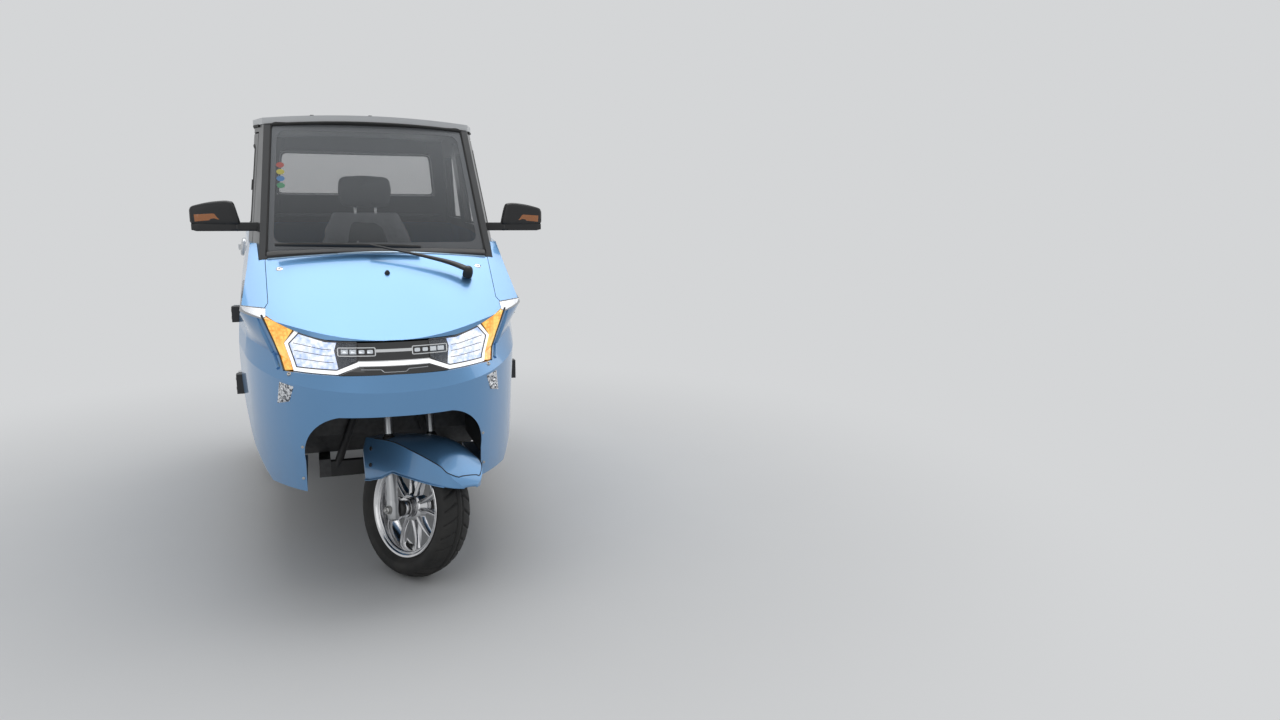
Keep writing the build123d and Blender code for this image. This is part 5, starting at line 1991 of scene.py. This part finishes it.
@dataclass
class CabinFittings(Assembly):
    """Inside the cabin: the instrument panel, vents, column boot, floor mat, pedal and rear shelf edge."""

    cabin: CabinForm
    shelf_z: float = 1176.0
    panel: Point = (118.0, 322.0, 925.0)
    panel_tilt: float = 0.16

    def build(self) -> None:
        """Builds the fittings."""
        rows = np.linspace(-1, 1, 50)
        section = sections(48 * (1 - 0.35 * rows**6), 12.5 * (1 - 0.5 * rows**8), 36, 3.4)
        half, y, z = self.panel
        back, up = section[..., 0], section[..., 1]
        shape = joined(rows[:, None] * half, y + back, z + up - self.panel_tilt * back)
        self.put("instrument_panel", shape, TRIM_BLACK, Form.TUBE)
        loop = rounded(((-84, 296), (84, 296), (84, 352), (-84, 352)), 12, 80)
        rings = filled(loop, 1 - unit(6), loop.mean(0))
        lift = z + 14.2 - self.panel_tilt * (rings[..., 1] - y)
        self.put("instrument_display", joined(rings[..., 0], rings[..., 1], lift), DISPLAY, Form.DISC, facing=UP,
                 wall=2.0)
        self.vents()
        t = unit(40)
        radius = 44 - 14 * smoothstep(t, 0, 1) + 2.2 * np.sin(t * math.pi * 9)
        low = np.array((0.0, 275.0, 862.0))
        boot = turned(np.vstack([[(0, 0)], joined(t * 62, radius), [(62, 0)]]), low, (0, 0.28, 0.96), 40)
        self.put("column_boot", boot, RUBBER, Form.SPUN, body=Body.STEERING)
        y, x = np.meshgrid(np.linspace(420, 640, 90), np.linspace(-350, 350, 60), indexing="ij")
        ribs = 1.6 * np.maximum(0, np.sin(y * math.pi / 9))
        self.put("floor_mat", joined(x, y, 348.5 + ribs), RUBBER, facing=UP, wall=2.0)
        dome = filled(squircle(36, 24, 40, 4), 1 - unit(5))
        face = joined(dome[..., 0] - 92, 398 + 0.55 * dome[..., 1], 452 + 0.8 * dome[..., 1])
        self.put("brake_pedal", face, RUBBER, Form.DISC, facing=(0, 0.8, 0.55), wall=7.0)
        self.rod("brake_pedal_arm", [(-92, 396, 450), (-92, 372, 520), (-92, 352, 600)], 7.0, CHASSIS)
        x = np.linspace(-398, 398, 80)
        path = self.cabin.rear(joined(x, self.shelf_z), 48.0)
        self.bar("rear_shelf_edge", path, squircle(26, 7, 24, 3.0), CABIN)

    def vents(self) -> None:
        """Two round air vents on the dash: a ring and slats each."""
        for sign, word in ((1, "left"), (-1, "right")):
            at = np.array((sign * 262.0, 330.0, 920.0))
            lean = (0, 0.3, 0.95)
            rim = ((0, 25), (0, 34), (5, 35), (8, 33), (9, 29), (6, 26), (4, 25))
            self.put(f"air_vent_ring_{word}", turned(rim, at, lean, 44), SILVER, Form.RING)
            slats = []
            for k in range(-2, 3):
                reach = math.sqrt(25**2 - (k * 9) ** 2)
                path = at + joined(np.linspace(-reach, reach, 12), k * 9.0, 4.0 - k * 2.8)
                slats.append(along(path, squircle(1.2, 3.6, 8, 3)))
            self.put(f"air_vent_slats_{word}", slats, GLOSS_BLACK, Form.TUBE)


@dataclass
class Glazed(Assembly):
    """Rubbers round the side and rear windows, the sliding panes' bars and the rear window's pale trim."""

    cabin: CabinForm
    door: tuple[Flat, ...] = ((522, 1158), (712, 1452), (1092, 1452), (1100, 1158))
    quarter: tuple[Flat, ...] = ((1206, 1172), (1196, 1452), (1420, 1452), (1570, 1172))
    rear: tuple[Flat, ...] = ((370, 1274), (340, 1470), (-340, 1470), (-370, 1274))

    def build(self) -> None:
        """Builds the rubbers and bars."""
        for side in Side:
            windows = (("door_window", self.door, side.door), ("quarter_window", self.quarter, Body.SHELL))
            for name, loop, body in windows:
                path = self.cabin.flank(rounded(loop, 20, 200), side.value, 3.0)
                self.bar(f"{name}_rubber_{side.word}", path, squircle(7.0, 4.5, 12, 2.6), RUBBER, side.out,
                         closed=True, body=body)
            path = self.cabin.flank(joined(846.0, np.linspace(1160, 1450, 30)), side.value, 5.5)
            self.bar(f"door_window_bar_{side.word}", path, squircle(9.0, 3.5, 14, 4), PILLAR, side.out,
                     body=side.door)
            catch = self.cabin.flank(np.array(((838.0, 1290.0), (838.0, 1330.0))), side.value, 1.0)
            self.bar(f"door_window_catch_{side.word}", catch, squircle(6.0, 4.0, 14, 3), TRIM_BLACK,
                     side.out, body=side.door)
        loop = rounded(self.rear, 28, 240)
        for name, depth, profile, finish in (("rubber", 3.0, squircle(8.0, 4.5, 12, 2.6), RUBBER),
                                             ("trim", 30.0, circle(10, 2.6), ROOF_PAINT)):
            path = self.cabin.rear(loop, depth)
            self.bar(f"rear_window_{name}", path, profile, finish, REAR_WINDOW_OUT, closed=True)


@dataclass
class DoorFittings(Assembly):
    """Each door's handle surround, lock, lower rubbing strip and hinge bolts."""

    flank: FlankForm
    handle: Flat = (1051, 1061)
    lock: Flat = (1118, 1030)
    strip: tuple[Flat, ...] = ((470, 560), (800, 548), (1122, 548))
    bolts: tuple[Flat, ...] = ((466, 596), (466, 630), (466, 848), (466, 874),
                               (416, 596), (416, 630), (416, 848), (416, 874))

    def build(self) -> None:
        """Builds both doors' fittings."""
        for side in Side:
            loop = squircle(45, 30, 80, 2.4) + self.handle
            path = self.flank.place(loop, side.value, 3.0)
            self.bar(f"door_handle_surround_{side.word}", path, squircle(7.5, 9.0, 16, 2.6), WHITE_TRIM,
                     side.out, closed=True, body=side.door)
            cup = filled(squircle(40, 25, 60, 2.4), 1 - unit(7))
            cup = self.flank.place(cup + self.handle, side.value, 1.2)
            self.put(f"door_handle_cup_{side.word}", cup, TRIM_BLACK, Form.DISC, body=side.door,
                     facing=side.out, wall=1.5)
            at = self.flank.place(np.array(self.lock, float), side.value, 0.0)
            barrel = ((-1, 0), (-1, 11), (2, 11), (3, 9.5), (3, 7), (1.5, 6.5), (1.5, 2.5), (0.2, 2), (0.2, 0))
            self.spin(f"door_lock_{side.word}", barrel, at, side.out, 28, CHROME, body=side.door)
            path = self.flank.place(smooth_path(self.strip, 80), side.value, 0.5)
            tall = 13 * np.sqrt(np.clip(1 - np.abs(np.linspace(-1, 1, 80)) ** 24, 0.04, 1))
            profile = sections(tall, 4.0, 16, 3)
            self.bar(f"door_rubbing_strip_{side.word}", path, profile, TRIM_BLACK, side.out, body=side.door)
            for k, (y, z) in enumerate(self.bolts):
                x = 495.0 if y > 440 else 499.0
                body = side.door if y > 440 else Body.SHELL
                at = (side.value * x, y, z)
                self.screw(f"hinge_bolt_{side.word}_{k + 1}", [at], [side.out], 6.0, ZINC, body=body)


@dataclass
class FlankFittings(Assembly):
    """Small fittings on the body's sides: arch-edge screws, side reflectors and the charging flap."""

    flank: FlankForm
    arch_screws: tuple[Point, ...] = ((283.5, -80.0, 494.6), (286.3, -65.5, 388.7))
    reflector: Flat = (1216.0, 600.0)
    flap: Flat = (1480.0, 960.0)

    def build(self) -> None:
        """Builds the fittings."""
        for side in Side:
            places = np.array(self.arch_screws) * (side.value, 1, 1)
            normals = np.array([(side.value * 0.30, -0.95, 0.0)] * 2)
            self.screw(f"arch_screws_{side.word}", places, normals, 4.6, ZINC)
            rings = filled(squircle(30, 10, 60, 4), 1 - unit(6)) + self.reflector
            shape = self.flank.place(rings, side.value, 3.0)
            self.put(f"side_reflector_{side.word}", shape, REPEATER, Form.DISC, facing=side.out, wall=3.0,
                     bevel=0.8)
        corners = ((-62, -48), (62, -48), (62, 48), (-62, 48))
        loop = rounded(corners, 16, 120) + self.flap
        seam = self.flank.place(loop, Side.LEFT.value, 0.4)
        self.bar("charging_flap_seam", seam, circle(8, 1.6), RUBBER, Side.LEFT.out, closed=True)
        rings = filled(loop, (0.97, 0.93, 0.6, 0.3, 0.0), self.flap)
        self.put("charging_flap", self.flank.place(rings, Side.LEFT.value, 1.6), BLUE_PAINT, Form.DISC,
                 facing=Side.LEFT.out, wall=1.2)
        latch = ((-1, 0), (-1, 8), (2.5, 8), (3.2, 7), (3.2, 4.5), (2.0, 4), (2.0, 0))
        at = self.flank.place(np.array(self.flap) + (38.0, 0.0), Side.LEFT.value, 2.0)
        self.spin("charging_flap_latch", latch, at, Side.LEFT.out, 28, CHROME)


@dataclass
class RoofFittings(Assembly):
    """The black seal under the roof's front edge, two small screws and the side gutters."""

    cabin: CabinForm
    screws: tuple[Flat, ...] = ((-200, 612), (5, 596))
    peak: float = 1574.0
    middle: float = 1080.0
    crown: Flat = (7800.0, 24000.0)

    def top(self, x: object, y: object, drop: float) -> np.ndarray:
        """The roof's height: its top less a share of x squared and of the distance from its middle squared."""
        across, back = np.asarray(x, float), np.asarray(y, float) - self.middle
        return self.peak - drop - across**2 / self.crown[0] - back**2 / self.crown[1]

    def build(self) -> None:
        """Builds the seal, the gutters and the screws."""
        x = np.linspace(-362, 362, 90)
        y = self.cabin.bowed(x, np.full_like(x, 1536.0), (236, 396, 255), (590, 363, 663))
        path = joined(x, y - 4, self.top(x, y, 27))
        self.bar("roof_front_seal", path, circle(10, 5.5), RUBBER, (0, -0.8, 0.6))
        for side in Side:
            y = np.linspace(690, 1500, 60)
            flat = joined(y, self.top(400.0, y, 24))
            path = self.cabin.flank(flat, side.value, -2.0)
            self.bar(f"roof_gutter_{side.word}", path, squircle(5.0, 4.5, 12, 3), RUBBER, side.out)
        places = np.array([(x, y, self.top(x, y, -0.5)) for x, y in self.screws])
        self.screw("roof_screws", places, [(0, -0.04, 1.0)] * 2, 7.0, TRIM_BLACK)


@dataclass
class Tail(Assembly):
    """The tail: lamp bezels and bands, a blank plate on its carrier, reflectors, a stop lamp and a bumper strip."""

    form: TailForm
    cabin: CabinForm
    lamp: tuple[Flat, ...] = ((398, 800), (398, 1010), (330, 990), (330, 820))
    plate: Flat = (132.0, 62.0)
    plate_z: float = 800.0

    def build(self) -> None:
        """Builds the tail's pieces."""
        for side in Side:
            loop = self.form.place(rounded(self.lamp, 10, 120) * (side.value, 1), 5.0)
            self.bar(f"tail_lamp_bezel_{side.word}", loop, squircle(4.0, 3.5, 12, 3), GLOSS_BLACK, REAR,
                     closed=True)
            for name, low, high, finish, slot in (("indicator", 838, 876, REPEATER, "amber_lens"),
                                                  ("reversing", 882, 908, WHITE_TRIM, "white_lens")):
                u, v = np.meshgrid(np.linspace(338, 390, 40), np.linspace(low, high, 16))
                ribs = 0.5 * np.abs(np.sin(u * 0.9))
                shape = self.form.place(joined(u * side.value, v), 6.6) + joined(0 * u, ribs, 0 * u)
                self.put(f"tail_{name}_{side.word}", shape, finish, slot=slot, facing=REAR, wall=2.0)
            puck = ((0, 0), (0, 24), (5, 24), (7, 22), (7, 0))
            at = self.form.place(np.array((side.value * 330.0, 560.0)), -1.0)
            self.spin(f"tail_reflector_{side.word}", puck, at, (0, 1, 0.12), 36, RED)
        self.number_plate()
        loop = rounded(((-300, 500), (300, 500), (300, 1140), (-300, 1140)), 30, 240)
        self.bar("tail_panel_seam", self.form.place(loop, 0.2), circle(8, 1.8), RUBBER, REAR, closed=True)
        latch = ((-1, 0), (-1, 17), (3, 17), (5, 15), (5, 10), (3, 9), (3, 3), (1, 2.5), (1, 0))
        self.spin("tail_latch", latch, self.form.place(np.array((0.0, 1090.0))), (0, 1, 0.25), 36, CHROME)
        x = np.linspace(-404, 404, 90)
        path = self.form.place(joined(x, 452.0), 2.0)
        self.bar("rear_bumper_strip", path, squircle(30, 10, 28, 3.4), TRIM_BLACK, REAR)
        x = np.linspace(-105, 105, 50)
        path = self.cabin.rear(joined(x, 1502.0), -1.0)
        self.bar("high_stop_lamp", path, squircle(8, 5, 16, 3), RED, REAR_WINDOW_OUT)

    def number_plate(self) -> None:
        """A black carrier with a blank plate, two screws and a lamp over it."""
        a, b = self.plate
        at = self.form.place(np.array((0.0, self.plate_z)), 0.0)
        for name, grow, depth, finish, slot in (("plate_carrier", 9.0, 1.0, TRIM_BLACK, "dark_plastic"),
                                                ("blank_plate", 0.0, 3.0, ROOF_PAINT, "roof_paint")):
            rings = filled(squircle(a + grow, b + grow, 80, 12), (1, 0.98, 0.5, 0))
            rise = rings[..., 1] + self.plate_z
            y = self.form.place(joined(0 * rise, rise), depth)[..., 1]
            shape = joined(rings[..., 0], y, rise)
            self.put(name, shape, finish, Form.DISC, slot=slot, facing=REAR, wall=2.0)
        places = np.array([(x, at[1] - 0.5, self.plate_z + 30) for x in (-92.0, 92.0)])
        self.screw("plate_screws", places, [REAR] * 2, 6.0, ZINC)
        path = joined(np.linspace(-42, 42, 24), at[1] - 4, self.plate_z + 84)
        self.bar("plate_lamp", path, squircle(12, 9, 20, 3), TRIM_BLACK)


@dataclass
class Running(Assembly):
    """The clamps and plates that hold the leaf springs to the rear axle."""

    spring_x: float = 290.0
    clamp: tuple[Flat, ...] = ((-31, 64), (-31, -18), (-22, -38), (0, -42), (22, -38), (31, -18), (31, 64))

    def build(self) -> None:
        """Builds two clamps and a plate on each side."""
        y, z = REAR_HUB[1:]
        for side in Side:
            x = side.value * self.spring_x
            for k, dy in enumerate((-26, 26)):
                path = [(x + across, y + dy, z + rise) for across, rise in self.clamp]
                self.rod(f"spring_clamp_{side.word}_{k + 1}", path, 4.5, ZINC, count=60, slot="black_steel")
            plate = filled(squircle(40, 38, 40, 8), (1, 0.5, 0))
            shape = joined(plate[..., 0] + x, plate[..., 1] + y, z + 56.0)
            self.put(f"spring_plate_{side.word}", shape, CHASSIS, Form.DISC, facing=UP, wall=6.0)


NODE_FINISH: tuple[tuple[Look, str], ...] = (
    (BLUE_PAINT, "front_shell hood rear_body door_shell_left door_shell_right front_fender"),
    (ROOF_PAINT, "roof"),
    (PILLAR, "cabin_frame door_frame_left door_frame_right"),
    (WINDOW, "windshield rear_windows door_glass_left door_glass_right"),
    (CLEAR, "headlamps corner_lamps"),
    (DAY_LIGHT, "light_strip"),
    (AMBER, "indicators"),
    (RED, "tail_lamps"),
    (GLOSS_BLACK, "lamp_bar"),
    (SILVER, "accents"),
    (TRIM_BLACK, "sills mirrors wiper hinges"),
    (WHITE_TRIM, "door_hardware_left door_hardware_right"),
    (LINER, "wheel_liners"),
    (CHASSIS, "floor_pan frame frame_rails rear_axle seat_base handlebar"),
    (CABIN, "battery dash"),
    (VINYL, "seat_cushion seat_back"),
    (FORK_PAINT, "fork"),
    (GRIP, "grips"),
    (ALLOY, "front_rim rear_rim_left rear_rim_right"),
    (TYRE, "front_tyre rear_tyre_left rear_tyre_right"),
)


def finish_nodes(frame: dict) -> None:
    """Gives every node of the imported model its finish.
    """
    finish_of = {node: finish for finish, nodes in NODE_FINISH for node in nodes.split()}
    for name, obj in frame["nodes"].items():
        obj.data.materials.clear()
        obj.data.materials.append(finish_of[name].material())
        LOG.info("finished node %s", name)


@dataclass(frozen=True)
class PhotoCamera:
    """The photograph's camera, as fitted to the front of the car."""

    place: Point = (-221.0, -2990.0, 1280.0)
    heading: tuple[float, float] = (0.343, 0.939)
    pitch_down: float = math.radians(10.35)
    roll: float = math.radians(0.6244)
    lens_mm: float = 25.134
    sensor_mm: float = 36.0

    def build(self, datum: Datum) -> bpy.types.Object:
        """Adds the camera and makes it the scene's.

        Args:
            datum: places millimetres in the frame.

        Returns:
            The camera.
        """
        along_ground = np.array((*self.heading, 0.0)) / math.hypot(*self.heading)
        forward = along_ground * math.cos(self.pitch_down) - (0, 0, math.sin(self.pitch_down))
        right = np.cross(forward, (0.0, 0.0, 1.0))
        right /= np.linalg.norm(right)
        up = np.cross(right, forward)
        c, s = math.cos(self.roll), math.sin(self.roll)
        right, up = c * right + s * up, c * up - s * right
        data = bpy.data.cameras.new("photo_camera")
        data.lens, data.sensor_width, data.sensor_fit = self.lens_mm, self.sensor_mm, "HORIZONTAL"
        camera = bpy.data.objects.new("photo_camera", data)
        matrix = np.eye(4)
        matrix[:3, 0], matrix[:3, 1], matrix[:3, 2] = right, up, -forward
        matrix[:3, 3] = datum.place(self.place)
        camera.matrix_world = Matrix(matrix.tolist())
        bpy.context.collection.objects.link(camera)
        bpy.context.scene.camera = camera
        return camera


@dataclass(frozen=True)
class Studio:
    """A pale floor that fades into a pale surround, and soft lamps: name, place, target, side and power each."""

    floor_half: float = 40.0
    floor_colour: Colour = (0.60, 0.60, 0.60)
    surround: Colour = (0.66, 0.67, 0.68)
    low_light: Colour = (0.25, 0.26, 0.27)
    high_light: Colour = (0.62, 0.64, 0.66)
    fade: tuple[float, float] = (0.8, 3.2)
    lamps: tuple[tuple[str, Point, Point, float, float], ...] = (
        ("key", (0.3, 1.0, 4.6), (0.0, -0.1, 0.4), 3.5, 92.0),
        ("front_fill", (-3.0, -5.0, 2.6), (0.0, -0.4, 0.7), 3.0, 15.6),
        ("side_fill", (4.6, 0.4, 2.8), (0.0, 0.0, 0.7), 3.0, 26.0),
    )

    def build(self) -> None:
        """Adds the floor, the surround and the lamps."""
        half = self.floor_half
        corners = [(-half, -half, 0), (half, -half, 0), (half, half, 0), (-half, half, 0)]
        mesh = bpy.data.meshes.new("studio_floor")
        mesh.from_pydata(corners, [], [(0, 1, 2, 3)])
        floor = bpy.data.objects.new("studio_floor", mesh)
        bpy.context.collection.objects.link(floor)
        mesh.materials.append(self.floor_material())
        self.light_world()
        for name, place, target, size, power in self.lamps:
            self.lamp(name, place, target, size, power)

    def floor_material(self) -> bpy.types.Material:
        """The floor: matt near the car, and further out the surround's own colour, by distance from the middle.

        Returns:
            The material.
        """
        made = bpy.data.materials.new("pale_floor")
        made.use_nodes = True
        nodes = Nodes(made.node_tree)
        flat = nodes.add("VectorMath", {"operation": "MULTIPLY"}, n0=nodes.place(), n1=(1.0, 1.0, 0.0))
        reach = nodes.add("VectorMath", {"operation": "LENGTH"}, n0=flat.outputs[0]).outputs["Value"]
        near, away = self.fade
        far = nodes.add("MapRange", {"interpolation_type": "SMOOTHSTEP"}, Value=reach, From_Min=near, From_Max=away)
        drift = nodes.add("group:drift", Scale=2.0).outputs[0]
        colour = nodes.mixed(drift, tuple(c * 0.98 for c in self.floor_colour), self.floor_colour)
        matt = nodes.add("BsdfPrincipled", Base_Color=colour, Roughness=0.7)
        nodes.feed(matt, "Specular IOR Level", 0.2)
        glow = nodes.add("Emission", Color=self.surround, Strength=1.0)
        mix = nodes.add("MixShader", n0=far.outputs[0], n1=matt.outputs[0], n2=glow.outputs[0])
        nodes.finish(mix)
        return made

    def light_world(self) -> None:
        """The surround is pale to the camera, to gloss and through glass; elsewhere it is brighter overhead."""
        world = bpy.data.worlds.new("studio_surround")
        bpy.context.scene.world = world
        world.use_nodes = True
        nodes = Nodes(world.node_tree)
        height = nodes.add("SeparateXYZ", Vector=nodes.add("TexCoord").outputs["Generated"]).outputs["Z"]
        light = nodes.mixed(nodes.ramp(height, -0.1, 0.9), self.low_light, self.high_light)
        ray = nodes.add("LightPath").outputs
        shown = nodes.math("MAXIMUM", ray["Is Camera Ray"], ray["Is Glossy Ray"])
        shown = nodes.math("MAXIMUM", shown, ray["Is Transmission Ray"])
        back = nodes.add("Background", Color=nodes.mixed(shown, light, self.surround), Strength=1.0)
        nodes.add("OutputWorld", Surface=back.outputs[0])

    @staticmethod
    def lamp(name: str, place: Point, target: Point, size: float, power: float) -> None:
        """Adds a square area lamp that faces a point.

        Args:
            name: the lamp's name.
            place: its place in metres.
            target: the point.
            size: its side.
            power: its power in watts.
        """
        data = bpy.data.lights.new(name, "AREA")
        data.shape, data.size, data.energy = "SQUARE", size, power
        lamp = bpy.data.objects.new(name, data)
        away = np.array(place, float) - np.array(target, float)
        away /= np.linalg.norm(away)
        side = np.cross((0.0, 1.0, 0.1), away)
        side /= np.linalg.norm(side)
        matrix = np.eye(4)
        matrix[:3, 0], matrix[:3, 1], matrix[:3, 2], matrix[:3, 3] = side, np.cross(away, side), away, place
        lamp.matrix_world = Matrix(matrix.tolist())
        bpy.context.collection.objects.link(lamp)


def main() -> None:
    """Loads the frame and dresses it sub-assembly by sub-assembly."""
    logging.basicConfig(level=logging.INFO, format="%(message)s")
    for stray in list(bpy.data.objects):
        bpy.data.objects.remove(stray)
    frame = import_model()
    datum = Datum.from_frame(frame)
    PhotoCamera().build(datum)
    build_shared_groups()
    Studio().build()
    finish_nodes(frame)
    nose, hood, cabin, flank, line = NoseForm(), HoodForm(), CabinForm(), FlankForm(), SteeringLine()
    LampUnit(datum, nose).build()
    CornerReflectors(datum, nose).build()
    HoodFittings(datum, nose, hood).build()
    Windscreen(datum, cabin, hood).build()
    Mirrors(datum).build()
    Mudguard(datum, line).build()
    ForkFittings(datum, line).build()
    Wheel(datum, tuple(line.hub), "front_rim", "front_tyre", line=line, body=Body.FRONT_WHEEL).build()
    for side, body in ((Side.LEFT, Body.REAR_LEFT), (Side.RIGHT, Body.REAR_RIGHT)):
        hub = (REAR_HUB[0] * side.value, *REAR_HUB[1:])
        rim, tyre = f"rear_rim_{side.word}", f"rear_tyre_{side.word}"
        Wheel(datum, hub, rim, tyre, hub_half=40.0, bore=14.0, body=body).build()
    Seat(datum).build()
    CabinFittings(datum, cabin).build()
    Glazed(datum, cabin).build()
    DoorFittings(datum, flank).build()
    FlankFittings(datum, flank).build()
    RoofFittings(datum, cabin).build()
    Tail(datum, TailForm(), cabin).build()
    Running(datum).build()
    bpy.context.scene.view_settings.view_transform = "Standard"


if __name__ == "__main__":
    main()
